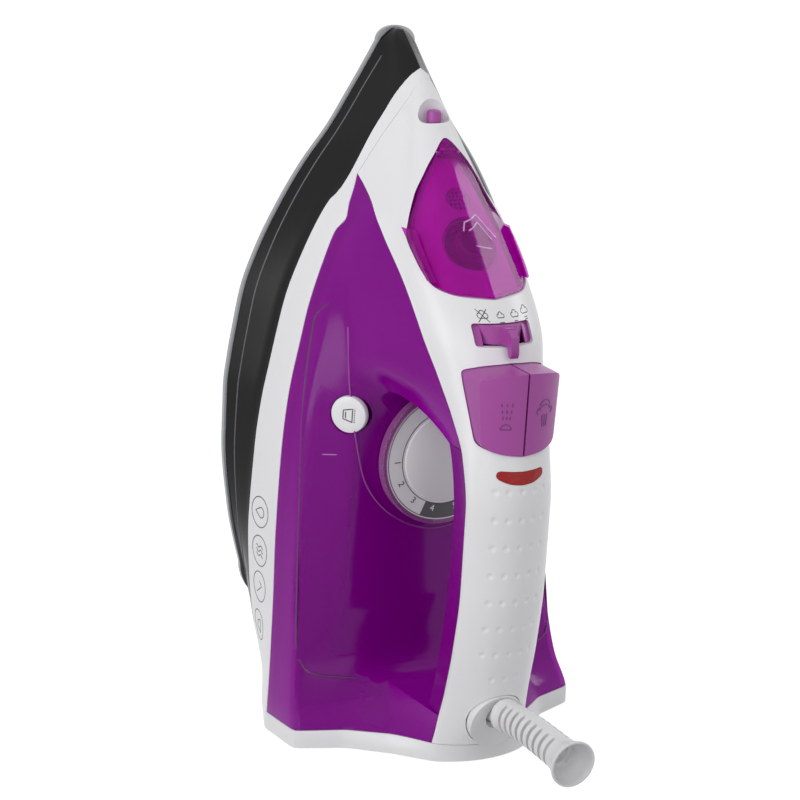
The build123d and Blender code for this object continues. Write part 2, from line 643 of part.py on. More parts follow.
def spring(radius, height, pitch, wire):
    """An open helical spring standing on the origin."""
    path = Helix(pitch=pitch, height=height, radius=radius)
    return sweep(Plane(origin=path @ 0, z_dir=path % 0) * Circle(wire), path=path, is_frenet=True)


spring_foot = pump_floor + 2.5
coil = Pos(pump_x, pump_y, spring_foot) * spring(2.7, piston_foot - spring_foot - 0.5, 1.9, 0.35)
flip = Plane.YZ
node("steam_button", button)
hose_notch = keep(Pos(-15.2, 160.5 * stretch, 100) * Box(8, 21, 60), below(HANDLE_LINE, button_travel + 4.3))
node("spray_button", mirror(button, flip) - hose_notch)
node("steam_piston", piston)
node("spray_piston", mirror(piston, flip))
node("steam_pump", pump - post(pump_x, pump_y, pump_floor - 1, pump_floor + 3, steam_tube_radius + 0.05))
hose_start = (-pump_x - pump_radius - 1.4, pump_y, 99.2 * rise)
outlet = Pos(-pump_x - pump_radius, pump_y, 99.2 * rise) * Rot(0, 90, 0) * Cylinder(0.8, 2.0)
outlet -= post(-pump_x, pump_y, pump_floor, 140, 4)
node("steam_spring", coil)
node("spray_spring", mirror(coil, flip))
opening = outline_prism(offset(button_face, amount=slide_gap), 60, 160)
shell = shell - opening - mirror(opening, flip)

# ---------------------------------------------------------------- spray nozzle and hose
nozzle_z = 38.4 * rise
forward = Rot(-90, 0, 0)                    # turns z to point along the iron
tip = nozzle_y * stretch
nozzle = Pos(0, tip - 4.8, nozzle_z) * forward * Cylinder(nozzle_radius, 9.6)
nozzle = fillet(nozzle.edges().group_by(Axis.Y)[-1], 0.6)
nozzle += Pos(0, tip - 11.4, nozzle_z) * forward * Cylinder(1.3, 4)
node("spray_nozzle", nozzle - Pos(0, tip, nozzle_z) * forward * Cylinder(0.5, 40))
shell -= Pos(0, tip, nozzle_z) * forward * Cylinder(nozzle_radius + 0.05, 24)
shell -= Pos(0, tip + 10.8, nozzle_z) * forward * Cylinder(nozzle_radius + 2.2, 30)
hose_end = (0, tip - 13.8, nozzle_z)
way = [(-14.4, 166, 92.9), (-14.8, 178, 85.4), (-14.4, 190, 75.4), (-13.2, 202, 64), (-11.6, 213, 51),
       (-7, 223, 42)]
hose = Spline(hose_start, *[(x * widen, y * stretch, z * rise) for x, y, z in way], hose_end,
              tangents=[(-0.1, 0.9, -0.5), (0, 1, 0)])
hose_plane = Plane(origin=hose @ 0, z_dir=hose % 0)
node("spray_hose", sweep(hose_plane * (Circle(1.5) - Circle(0.85)), path=hose))
hose_room = sweep(hose_plane * Circle(1.53), path=hose)
node("spray_pump", biggest(mirror(pump, flip) + outlet - hose_room))

# ---------------------------------------------------------------- lens, lamp, dimples
lens = keep(outer, outline_prism(lens_plan, 90, 160)) - form_solid(2.0, 0, -1)
node("indicator_lens", biggest(lens))
shell -= outline_prism(offset(lens_plan, amount=0.15), 90, 160)
lamp_place = (0, 128.8 * stretch)
lamp = post(*lamp_place, 98.6 * rise, 108 * rise, 1.4)
lamp += post(*lamp_place, 107 * rise, 112 * rise, 2.5) + Pos(*lamp_place, 112 * rise) * Sphere(2.5)
node("indicator_lamp", lamp)

dimple_rows = [(60.6 + 10.6 * k, (-9.9, -5.2, 0, 5.2, 9.9)) for k in range(7)] + [(50, (-5.2, 0, 5.2))]
dimples = []
for y, places in dimple_rows:
    y *= stretch
    for x in places:
        level = crown_height(y, x * widen)
        dimples.append(Pos(x * widen, y, level + 1.9) * Sphere(2.5))
shell = shell.cut(*dimples)

# ---------------------------------------------------------------- filling door and tray
door_prism = outline_prism(door_plan, 20, 140)
door_hole = outline_prism(offset(door_plan, amount=slide_gap), 20, 140)
shell -= door_hole
hinge_frame = crown_frame(hinge_y)
hinge_line = hinge_frame * Pos(0, 0, -barrel_radius) * Rot(0, 90, 0)
shell -= hinge_line * Cylinder(hinge_pin_radius + 0.02, 11)
node("door_hinge_pin", hinge_line * Cylinder(hinge_pin_radius, 9.8))

door = keep(outer, door_prism) - form_solid(door_thickness, 0, -1)
door -= hinge_frame * Pos(0, 25, 0) * Box(60, 50, 60)
stepped_in = outline_prism(offset(door_plan, amount=-door_rebate), 20, 140)
door -= keep(form_solid(door_lip), door_prism) - stepped_in
ear_plan = outline_prism(offset(door_plan, amount=0.2), 20, 140)
tips = keep(form_solid(-1.6, 8, 15) - form_solid(1.0, 8, 15), ear_plan)
for side in (-1, 1):
    zone = Pos(side * 20.2 * widen, 200.5 * stretch, 70) * Box(7 * widen, 15, 90)
    door += keep(tips, fillet(zone.edges().filter_by(Axis.Z), 2.4))
door += hinge_line * Cylinder(barrel_radius, 6.4)
plug = crown_frame(fill_y) * (sunk(neck_bore - 0.6, 0.6, 6.4) - sunk(neck_bore - 1.8, 0.6, 8))
door += plug
door = biggest(door - hinge_line * Cylinder(hinge_pin_radius + 0.05, 20))
node("fill_door", door)

tray_top, tray_bottom = 4.3, 5.9
tray_deep = form_solid(tray_bottom, 0, 16)
tray_plan, floor_plan = [outline_prism(offset(door_plan, amount=grow), 20, 140) for grow in (1.9, 1.0)]
tray_block = keep(form_solid(handle_wall + 0.3, 0, 16), tray_plan) - tray_deep
tray_floor = keep(form_solid(tray_top, 0, 16), floor_plan) - tray_deep
tray = tray_block - outline_prism(offset(door_plan, amount=0.5), 20, 140) + tray_floor
fill_frame, vent_frame = crown_frame(fill_y), crown_frame(221 * stretch)
tray = tray - fill_frame * sunk(11.4, 0, 6.0) + fill_frame * sunk(11.4, 6.0, 7.8)
tray = tray - fill_frame * sunk(neck_radius + 0.2, 0, 12) - vent_frame * sunk(5.0, 0, 5.2)
tray_edge = [(y, half[SHOULDER][1] + 0.5) for y, half, crown in [form_row(row) for row in FORM[9:16]]]
node("filler_tray", biggest(keep(tray, above([tray_edge], 0))))
node("inlet_seal", fill_frame * (sunk(10.3, 4.8, 5.9) - sunk(neck_radius + 0.3, 4, 7)))
mesh = sunk(4.7, 4.0, 5.1)
for i in range(-2, 3):
    for j in range(-2, 3):
        if math.hypot(i, j) < 2.5:
            mesh -= Pos(i * 1.65, j * 1.65, -4.5) * Box(1.1, 1.1, 3)
node("inlet_strainer", vent_frame * mesh)
node("handle_shell", biggest(shell))

# ---------------------------------------------------------------- dial and self-cleaning button
knob = post(0, thermostat_place, dial_foot, dial_top, dial_radius)
knob = fillet(knob.edges().group_by(Axis.Z)[-1], 0.8)
knob -= post(0, thermostat_place, dial_top - 1.0, dial_top + 1, dial_label_radius + 0.1)
knob -= post(0, thermostat_place, dial_foot - 1, dial_foot + 1.6, dial_shaft_radius + 0.03)
node("dial_knob", knob)
node("dial_label", post(0, thermostat_place, dial_top - 1.0, dial_top - 0.3, dial_label_radius))
shaft = post(0, thermostat_place, cover_z1 + 9.6, dial_foot + 1.5, dial_shaft_radius)
node("dial_shaft", shaft - post(0, thermostat_place, cover_z1, stem_top + 0.5, 2.05))

disc = sunk(clean_button_radius, -1.4, 1.6)
disc = fillet(disc.edges().group_by(Axis.Z)[-1], 0.9)
node("self_clean_button", clean_frame * (disc + sunk(2.0, 1.2, clean_floor + 3)))
node("clean_spring", clean_frame * Pos(0, 0, -clean_floor + clean_wall + 0.6) * spring(4.4, 4.4, 1.5, 0.45))

# ---------------------------------------------------------------- heel, terminals, wires
heel = keep(outer, heel_slab(0, heel_strip)) - keep(inner_handle, heel_slab(heel_wall, 40))
for x, z in heel_screw_places:
    across = heel_frame * Pos(x, 0, z) * Rot(90, 0, 0)
    heel += heel_frame * Pos(x, heel_strip / 2, z) * Rot(90, 0, 0) * Cylinder(4.6, heel_strip)
    heel = heel - across * Cylinder(1.6, 40) - across * Cylinder(3.4, 6)
node("heel_cover", biggest(heel - swivel_frame * sunk(swivel_radius + slide_gap, -8, ring_bottom + 3)))
heel_screw = Rot(90, 0, 0) * screw(1.25, 14, 3, 1.8)
node("heel_screws", *[heel_frame * Pos(x, 3, z) * heel_screw for x, z in heel_screw_places])

block_low, block_high = 13.2 * rise, 24 * rise
block = Pos(0, 21, (block_low + block_high) / 2) * Box(26, 12, block_high - block_low)
block = chamfer(block.edges().filter_by(Axis.Y), 1)
for x in (-8, 0, 8):
    block -= post(x, 21, block_high - 2, block_high + 1, 2.2)
node("terminal_block", block)
wires = []
for side in (-1, 1):
    leads = [
        [(4, 19, block_high + 0.2), (4, 19, 60), (3.2, 22.5, 105.4)],
        [(13.2, 21, 19), (26, 30, 23), (37, 56, 23), (leg_back[0], leg_back[1] + 1.5, 23)],
    ]
    wires += [tube([(side * x, y * stretch, z * rise) for x, y, z in lead], 3, 0.9) for lead in leads]
node("wires", *wires)

# ---------------------------------------------------------------- standing on the heel
upright = Rot(90 + heel_lean, 0, 0)
placed = {name: upright * piece for name, piece in pieces.items()}
boxes = [piece.bounding_box() for piece in placed.values()]
middle_y = (min(box.min.Y for box in boxes) + max(box.max.Y for box in boxes)) / 2
settle = Pos(0, -middle_y, -min(box.min.Z for box in boxes))
for name, piece in placed.items():
    export_step(settle * piece, f"parts/{name}.step")
    print(name, round(piece.volume), piece.is_valid, len(piece.solids()))
print("shift", settle.position)
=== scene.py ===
"""Looks for the steam iron: smooth covers, finishes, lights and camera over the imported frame.

Bench units are millimetres with the iron lying on its soleplate: x across, y from the heel
to the nose, z up from the ironing face. BENCH turns them into the frame's upright metres.
"""
import json
import math

import bmesh
import bpy
import numpy as np
from mathutils import Matrix, Vector

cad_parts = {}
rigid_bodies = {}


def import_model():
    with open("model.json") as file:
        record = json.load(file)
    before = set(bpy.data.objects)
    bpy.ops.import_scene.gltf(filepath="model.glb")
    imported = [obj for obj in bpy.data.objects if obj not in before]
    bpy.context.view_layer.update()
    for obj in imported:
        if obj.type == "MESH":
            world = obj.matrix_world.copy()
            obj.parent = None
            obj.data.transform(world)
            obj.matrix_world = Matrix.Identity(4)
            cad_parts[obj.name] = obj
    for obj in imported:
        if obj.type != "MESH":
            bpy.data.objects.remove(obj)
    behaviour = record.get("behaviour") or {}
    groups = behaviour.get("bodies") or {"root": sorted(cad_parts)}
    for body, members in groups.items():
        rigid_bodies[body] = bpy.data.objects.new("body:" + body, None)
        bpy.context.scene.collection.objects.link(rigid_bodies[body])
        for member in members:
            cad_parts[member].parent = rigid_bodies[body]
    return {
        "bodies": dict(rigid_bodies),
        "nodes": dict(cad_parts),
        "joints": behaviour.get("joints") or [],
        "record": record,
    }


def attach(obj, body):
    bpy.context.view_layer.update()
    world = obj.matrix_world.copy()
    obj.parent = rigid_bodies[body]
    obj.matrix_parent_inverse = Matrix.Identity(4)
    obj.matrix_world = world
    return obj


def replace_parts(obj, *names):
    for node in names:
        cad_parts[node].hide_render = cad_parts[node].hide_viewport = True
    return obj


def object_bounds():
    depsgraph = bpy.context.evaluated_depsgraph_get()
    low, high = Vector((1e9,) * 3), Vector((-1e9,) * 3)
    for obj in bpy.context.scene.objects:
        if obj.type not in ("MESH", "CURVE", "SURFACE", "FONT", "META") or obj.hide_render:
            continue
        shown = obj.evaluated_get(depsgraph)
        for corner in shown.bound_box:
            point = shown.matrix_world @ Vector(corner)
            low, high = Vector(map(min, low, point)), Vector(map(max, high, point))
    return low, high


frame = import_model()
cad_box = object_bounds()
nodes = frame["nodes"]
scene = bpy.context.scene
translate, rotate = Matrix.Translation, Matrix.Rotation

# ---- bench frame
HEEL_LEAN = 7.0
UPRIGHT = math.radians(90 + HEEL_LEAN)
DIAL_Y, DIAL_FACE = 119.0, 65.2
joints = {joint["name"]: joint for joint in frame["record"]["behaviour"]["joints"]}
dial_centre = Vector(joints["dial_turn"]["pos_m"])
shift = dial_centre.y - (DIAL_Y * math.cos(UPRIGHT) - DIAL_FACE * math.sin(UPRIGHT)) / 1000
STERN = -6  # the covers run past the heel and are then cut level with it
SEAM = 0.12  # half the gap between two covers
BENCH = translate((0, shift, 0)) @ rotate(UPRIGHT, 4, "X") @ Matrix.Scale(0.001, 4)

# ---- outer form, as in the solids
FORM = np.array([
    # y, foot w, skirt top w h, tank foot w h, side crease w h, deck edge w h, root w h, shoulder w h, crown
    (-6, 43, 49, 10, 62, 43, 61.5, 70, 43, 79, 31, 92, 20.4, 105.8, 112.2),
    (14, 43.5, 49.5, 10, 62, 43, 61.3, 69.5, 43, 78, 30.5, 91, 20.2, 105.8, 112.6),
    (28, 47.5, 52.5, 11, 60.8, 41, 58.8, 62.5, 40, 67, 25, 75, 18.8, 106.5, 116.3),
    (42, 52, 56, 12, 60, 39.5, 57, 58.5, 38, 61.6, 19, 61.6, 18, 109, 119.2),
    (60, 57.2, 58.6, 12.6, 59, 37.5, 55.8, 54, 38, 61, 18.6, 61, 17.8, 112.5, 122),
    (85, 63, 60.4, 14, 58, 35, 54.2, 50.5, 38, 60.6, 18.4, 61, 17.6, 115, 124),
    (115, 66.2, 59.6, 15.6, 56.8, 34, 52.2, 46.6, 37, 60, 18.4, 61, 17.6, 114.8, 123.8),
    (135, 66.2, 57.6, 16.3, 55, 33.5, 50.6, 45.4, 37, 58.6, 19, 61, 17.9, 110.3, 121.6),
    (147, 65, 55.5, 16.8, 53, 33, 48.8, 44.6, 37.6, 57, 25, 64, 18.8, 103.6, 117.6),
    (160, 63, 53.2, 17.3, 50.4, 33, 46.4, 43.8, 38.4, 54.6, 33, 68, 20.8, 96, 111.4),
    (175, 60.2, 50, 17.8, 47.3, 33, 43.4, 42.5, 38, 51, 32, 66, 23.8, 86, 105.4),
    (192, 54, 44, 18.5, 41.4, 32, 38.4, 39.5, 35.6, 46.5, 31, 56.5, 24.8, 70, 90.8),
    (208, 46, 36.6, 19.5, 33.9, 31, 31.8, 36, 30.2, 40.5, 27.6, 47, 21.6, 57, 76.2),
    (223, 37, 27.4, 20.4, 25.3, 25.4, 23.4, 29.6, 21.6, 34, 19, 39, 14.8, 47, 62.6),
    (238, 26, 19, 20.4, 17.5, 24, 16.2, 27, 14.8, 30, 13, 33.4, 10, 38.4, 49.6),
    (250, 18.8, 12, 19.6, 11.1, 22, 10.2, 24, 9.3, 26, 8.2, 28.4, 6.6, 31.6, 38),
    (262, 11.8, 7.6, 12, 6.9, 14, 6.2, 16, 5.5, 18, 4.7, 20, 3.6, 22.4, 25.6),
    (275, 4.6, 4.3, 4.6, 4.1, 5.4, 3.9, 6, 3.7, 6.6, 3.5, 7.3, 3.2, 8, 9),
])
FOOT_LEVEL = 3.6
SKIRT_TOP, TANK_FOOT, SIDE_CREASE, DECK_EDGE, ROOT, SHOULDER, CROWN = range(1, 8)
TIP = (222.8, 26.2)
SKIRT_LINE = [(-6, 11.5), (14, 11.5), (28, 12.5), (42, 13.5), (60, 14.1), (85, 15.5), (115, 17.1),
              (135, 17.8), (147, 18.3), (160, 18.8), (175, 19.3), (192, 20), (211.5, 21.2), (216.5, 23.2),
              (238, 22.6), (250, 22.8), (258, 24), (262.4, 27.4), (264, 34)]
TANK_LINE = [(-6, 44.5), (14, 44.5), (28, 42.5), (42, 41), (60, 39), (85, 36.5), (115, 35.5), (135, 35),
             (147, 34.5), (160, 34.5), (175, 34.5), (192, 33.5), (203, 32.6), (206.5, 34.6), (213, 31.4), TIP]
HANDLE_LINE = [(-6, 104.3), (14, 104.3), (28, 105), (42, 107.5), (60, 111), (85, 113.5), (115, 113.3),
               (135, 108.8), (147, 102.1), (160, 94.5), (175, 84.5), (192, 68.5), (203, 55), (213.5, 42), TIP]
NOSE_SEAM = [TIP, (240, 28), (266, 31.5)]


def monotone(xs, table, x):
    """Smooth monotone interpolation of the rows of a table."""
    step = np.diff(xs)[:, None]
    slope = np.diff(table, axis=0) / step
    same = slope[:-1] * slope[1:] > 0
    mid = np.where(same, 2 * slope[:-1] * slope[1:] / np.where(same, slope[:-1] + slope[1:], 1), 0)
    tangent = np.vstack([slope[:1], mid, slope[-1:]])
    k = int(np.clip(np.searchsorted(xs, x) - 1, 0, len(xs) - 2))
    h = xs[k + 1] - xs[k]
    t = np.clip((x - xs[k]) / h, 0, 1)
    start, leave = 2 * t**3 - 3 * t**2 + 1, t**3 - 2 * t**2 + t
    end, arrive = 3 * t**2 - 2 * t**3, t**3 - t**2
    return start * table[k] + leave * h * tangent[k] + end * table[k + 1] + arrive * h * tangent[k + 1]


def line(points):
    """A function that gives a parting line's height anywhere along the iron."""
    table = np.array(points, float)
    return lambda y: float(monotone(table[:, 0], table[:, 1:], y)[0])


skirt_line, tank_line = line(SKIRT_LINE), line(TANK_LINE)
handle_line, nose_seam = line(HANDLE_LINE), line(NOSE_SEAM)
SAMPLES, CREASE_SOFTNESS = 9, 1.6


def form_row(y):
    """The widths and heights of the form at a place along the iron."""
    return monotone(FORM[:, 0], FORM[:, 1:], y)


def outline(y, grow=0.0):
    """Half of the cross-section, foot to crown: (place number, x, z) samples with softened creases."""
    row = form_row(y)
    corners = [(row[0], FOOT_LEVEL)] + [(row[i], row[i + 1]) for i in range(1, 13, 2)]
    crown = row[13]
    place, xs, zs = [], [], []
    for k, (a, b) in enumerate(zip(corners, corners[1:])):
        for i in range(SAMPLES):
            t = i / SAMPLES
            place.append(k + t)
            xs.append(a[0] + (b[0] - a[0]) * t)
            zs.append(a[1] + (b[1] - a[1]) * t)
    w, h = corners[-1]
    arch = crown - h
    radius = (w * w + arch * arch) / (2 * arch)
    half_angle = math.atan2(w, radius - arch)
    for i in range(3 * SAMPLES + 1):
        t = i / (3 * SAMPLES)
        angle = half_angle * (1 - t)
        place.append(SHOULDER + t)
        xs.append(radius * math.sin(angle))
        zs.append(crown - radius + radius * math.cos(angle))
    place, xs, zs = np.array(place), np.array(xs), np.array(zs)
    run = np.concatenate([[0], np.cumsum(np.hypot(np.diff(xs), np.diff(zs)))])
    reach = min(CREASE_SOFTNESS, run[-1] / 40)
    full_run = np.concatenate([run, 2 * run[-1] - run[-2::-1]])
    full_x, full_z = np.concatenate([xs, -xs[-2::-1]]), np.concatenate([zs, zs[-2::-1]])
    out_x, out_z = np.zeros_like(xs), np.zeros_like(zs)
    for offset in (-1, -0.6, -0.2, 0.2, 0.6, 1):
        out_x += np.interp(run + offset * reach, full_run, full_x) / 6
        out_z += np.interp(run + offset * reach, full_run, full_z) / 6
    out_x[0], out_z[0] = xs[0], zs[0]
    if grow:
        along_x, along_z = np.gradient(out_x), np.gradient(out_z)
        length = np.hypot(along_x, along_z) + 1e-9
        out_x, out_z = out_x + along_z / length * grow, out_z - along_x / length * grow
    return place, out_x, out_z


def crown_at(x, y):
    """Height of the crown over a point of the plan."""
    place, xs, zs = outline(y)
    top = place >= SHOULDER - 0.3
    return float(np.interp(abs(x), xs[top][::-1], zs[top][::-1]))


def flank(y, z, lift):
    """A place on the right flank."""
    place, xs, zs = outline(y)
    low = place <= DECK_EDGE
    return (float(np.interp(z, zs[low], xs[low])) + lift, y, z)


def place_at(shape, z):
    """The place number at which a cross-section reaches a height."""
    place, xs, zs = shape
    return float(np.interp(z, np.maximum.accumulate(zs), place))


def strip(ys, low, high, corners, per):
    """Rows of points up the right side, between two heights, with columns that follow the creases."""
    rows = []
    for y in ys:
        shape = outline(y)
        bottom = 0.0 if low is None else place_at(shape, low(y))
        top = float(CROWN) if high is None else place_at(shape, high(y))
        breaks = [bottom] + [min(max(c, bottom), top) for c in corners] + [top]
        spots = [np.linspace(a, b, n, endpoint=False) for a, b, n in zip(breaks, breaks[1:], per)] + [[top]]
        spots = np.concatenate(spots)
        rows.append([(float(np.interp(u, shape[0], shape[1])), y, float(np.interp(u, shape[0], shape[2])))
                     for u in spots])
    return rows


def stations(first, last, step):
    """Evenly spaced places along the iron."""
    return list(np.linspace(first, last, max(2, int(round((last - first) / step)) + 1)))


# ---- mesh helpers
def linked(name, data):
    """A new object in the scene."""
    obj = bpy.data.objects.new(name, data)
    scene.collection.objects.link(obj)
    return obj


def evaluated(obj, helpers=()):
    """The mesh of an object with its modifiers applied; the object and its helpers are then removed."""
    bpy.context.view_layer.update()
    mesh = bpy.data.meshes.new_from_object(obj.evaluated_get(bpy.context.evaluated_depsgraph_get()))
    for spent in [*helpers, obj]:
        bpy.data.objects.remove(spent)
    return mesh


def new_object(name, mesh, body, material, smooth=35):
    """A bench-unit mesh as a piece that rides on a body; edges over smooth degrees stay crisp."""
    obj = linked(name, mesh)
    mesh.transform(BENCH)
    mesh.shade_smooth()
    mesh.set_sharp_from_angle(angle=math.radians(smooth))
    mesh.materials.clear()
    mesh.materials.append(material)
    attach(obj, body)
    return obj


def mesh_from(verts, faces):
    """A clean mesh from points and faces."""
    mesh = bpy.data.meshes.new("piece")
    mesh.from_pydata([tuple(map(float, v)) for v in verts], [], faces)
    clean(mesh)
    return mesh


def edit(mesh, change):
    """Apply a change to a mesh and turn its faces outwards."""
    bm = bmesh.new()
    bm.from_mesh(mesh)
    change(bm)
    bmesh.ops.recalc_face_normals(bm, faces=bm.faces)
    bm.to_mesh(mesh)
    bm.free()


def clean(mesh, merge=0.01):
    """Merge points closer than merge."""
    edit(mesh, lambda bm: bmesh.ops.remove_doubles(bm, verts=bm.verts, dist=merge))


def loops_mesh(loops, caps=True):
    """Skin a list of closed loops of equal length."""
    count = len(loops[0])
    verts = [v for loop in loops for v in loop]
    faces = []
    for j in range(len(loops) - 1):
        for i in range(count):
            k = (i + 1) % count
            faces.append((j * count + i, j * count + k, (j + 1) * count + k, (j + 1) * count + i))
    if caps:
        faces.append(tuple(range(count))[::-1])
        faces.append(tuple(range((len(loops) - 1) * count, len(loops) * count)))
    return mesh_from(verts, faces)


def sheet_mesh(rows):
    """Skin a grid of rows as an open sheet."""
    count = len(rows[0])
    verts = [v for row in rows for v in row]
    faces = [(j * count + i, j * count + i + 1, (j + 1) * count + i + 1, (j + 1) * count + i)
             for j in range(len(rows) - 1) for i in range(count - 1)]
    return mesh_from(verts, faces)


def both_sides(rows, closed=True):
    """Loops from right-hand rows: up the right side and down the left."""
    loops = []
    for row in rows:
        left = [(-x, y, z) for x, y, z in reversed(row)]
        loops.append(row + (left if closed else left[1:]))
    return loops


def heel_cut(mesh, height, keep_above=True):
    """Trim a bench mesh at a height above the standing surface and close it there."""
    lean = math.radians(HEEL_LEAN)
    normal = Vector((0, math.cos(lean), -math.sin(lean)))

    def trim(bm):
        cut = bmesh.ops.bisect_plane(
            bm, geom=bm.verts[:] + bm.edges[:] + bm.faces[:], plane_co=normal * height, plane_no=normal,
            clear_inner=keep_above, clear_outer=not keep_above)
        bmesh.ops.edgeloop_fill(bm, edges=[g for g in cut["geom_cut"] if isinstance(g, bmesh.types.BMEdge)])
    edit(mesh, trim)


def prism(points, z0, z1):
    """A closed plan outline extruded between two heights."""
    return loops_mesh([[(x, y, z) for x, y in points] for z in (z0, z1)])


def side_prism(points, x0, x1):
    """A closed side-view outline extruded across the iron."""
    return loops_mesh([[(x, y, z) for y, z in points] for x in (x0, x1)])


def swell(points, amount):
    """A plan outline moved outwards, square to its edges."""
    result = []
    count = len(points)
    centre = sum((Vector(p) for p in points), Vector((0, 0))) / count
    for i, p in enumerate(points):
        along = Vector(points[(i + 1) % count]) - Vector(points[i - 1])
        normal = Vector((along.y, -along.x)).normalized()
        if normal.dot(Vector(p) - centre) < 0:
            normal = -normal
        result.append(tuple(Vector(p) + normal * amount))
    return result


def circle(radius, sides):
    """Points round a circle."""
    return [(radius * math.cos(2 * math.pi * k / sides), radius * math.sin(2 * math.pi * k / sides))
            for k in range(sides)]


def ring_mesh(frame, inner, outer, z0, z1, sides=64):
    """A round washer or sleeve in a local frame."""
    profile = ((inner, z0), (outer, z0), (outer, z1), (inner, z1), (inner, z0))
    return loops_mesh([[frame @ Vector((x, y, z)) for x, y in circle(radius, sides)]
                       for radius, z in profile], caps=False)


def turned(profile, frame, sides=64):
    """A shape turned on a local z axis from (radius, height) points that start and end on it."""
    return loops_mesh([[frame @ Vector((x, y, z)) for x, y in circle(max(radius, 0.02), sides)]
                       for radius, z in profile])


def drum(radius, z0, z1, frame, sides=64):
    """A plain round bar in a local frame."""
    return turned([(0, z0), (radius, z0), (radius, z1), (0, z1)], frame, sides)


def joined(meshes):
    """Several bench meshes as one."""
    bm = bmesh.new()
    for mesh in meshes:
        bm.from_mesh(mesh)
    result = bpy.data.meshes.new("joined")
    bm.to_mesh(result)
    bm.free()
    return result


def crown_frame(y):
    """A frame on the crown whose z axis points straight out of it."""
    slope = (crown_at(0, y + 1) - crown_at(0, y - 1)) / 2
    return translate((0, y, crown_at(0, y))) @ rotate(math.atan(slope), 4, "X")


def rod_mesh(radius, y0, y1, z, sides=48):
    """A round bar along the iron, over its middle line."""
    return loops_mesh([[(u, y, z + v) for u, v in circle(radius, sides)] for y in (y0, y1)])


def rounded(points, radii, steps=6):
    """A closed outline with each corner turned into an arc-like curve."""
    result = []
    count = len(points)
    for i, radius in enumerate(radii):
        here = Vector(points[i])
        before, after = Vector(points[i - 1]) - here, Vector(points[(i + 1) % count]) - here
        if not radius:
            result.append(tuple(here))
            continue
        a = here + before.normalized() * min(radius, before.length * 0.49)
        b = here + after.normalized() * min(radius, after.length * 0.49)
        for k in range(steps + 1):
            t = k / steps
            result.append(tuple(a * (1 - t)**2 + here * 2 * t * (1 - t) + b * t * t))
    return result


def boolean(mesh, tools, operation="DIFFERENCE"):
    """Apply boolean cuts to a bench mesh."""
    base = linked("base", mesh)
    helpers = [linked("tool", tool) for tool in tools]
    for helper in helpers:
        modifier = base.modifiers.new("cut", "BOOLEAN")
        modifier.operation, modifier.object, modifier.solver = operation, helper, "EXACT"
    result = evaluated(base, helpers)
    clean(result, 0.002)
    return result


def thicken(mesh, depth):
    """Give an open bench sheet a wall, inwards."""
    base = linked("base", mesh)
    modifier = base.modifiers.new("wall", "SOLIDIFY")
    modifier.thickness, modifier.offset, modifier.use_even_offset = depth, -1, True
    return evaluated(base)


def bevel(obj, width, segments, angle):
    """Round a piece's sharp edges; the width is in bench units."""
    modifier = obj.modifiers.new("edge", "BEVEL")
    modifier.width, modifier.segments = width / 1000, segments
    modifier.limit_method, modifier.angle_limit = "ANGLE", math.radians(angle)
    modifier.harden_normals = False
    return obj


def wire(points, radius):
    """A round wire through bench points, as a mesh."""
    curve = bpy.data.curves.new("wire", "CURVE")
    curve.dimensions, curve.bevel_depth, curve.bevel_resolution = "3D", radius, 3
    spline = curve.splines.new("POLY")
    spline.points.add(len(points) - 1)
    for point, co in zip(spline.points, points):
        point.co = (*co, 1)
    return evaluated(linked("wire", curve))


def flowing(points):
    """A smooth line through points."""
    steps = 6
    spots = [Vector(p) for p in points]
    spots = [2 * spots[0] - spots[1]] + spots + [2 * spots[-1] - spots[-2]]
    result = []
    for a, b, c, d in zip(spots, spots[1:], spots[2:], spots[3:]):
        for k in range(steps):
            t = k / steps
            bend, swing = a * 2 - b * 5 + c * 4 - d, b * 3 - a - c * 3 + d
            result.append(((b * 2) + (c - a) * t + bend * t * t + swing * t**3) / 2)
    return result + [spots[-2]]


# ---- finishes
def put(node, **values):
    """Set a shader node's inputs; an underscore stands for a space."""
    for name, value in values.items():
        node.inputs[name.replace("_", " ")].default_value = value


def add_node(tree, kind, **values):
    """A new shader node with its inputs set."""
    node = tree.nodes.new("ShaderNode" + kind)
    put(node, **values)
    return node


def connect(tree, *rows):
    """Join shader nodes; a row is a node, its output, the next node and its input."""
    for source, output, target, place in rows:
        tree.links.new(source.outputs[output], target.inputs[place])


def seen_rays(tree):
    """A node whose value is 1 for rays from the camera, off a shiny surface or through a clear one."""
    rays = add_node(tree, "LightPath")
    shiny, seen = add_node(tree, "Math"), add_node(tree, "Math")
    shiny.operation = seen.operation = "MAXIMUM"
    connect(tree, (rays, "Is Camera Ray", shiny, 0), (rays, "Is Glossy Ray", shiny, 1),
            (shiny, "Value", seen, 0), (rays, "Is Transmission Ray", seen, 1))
    return seen


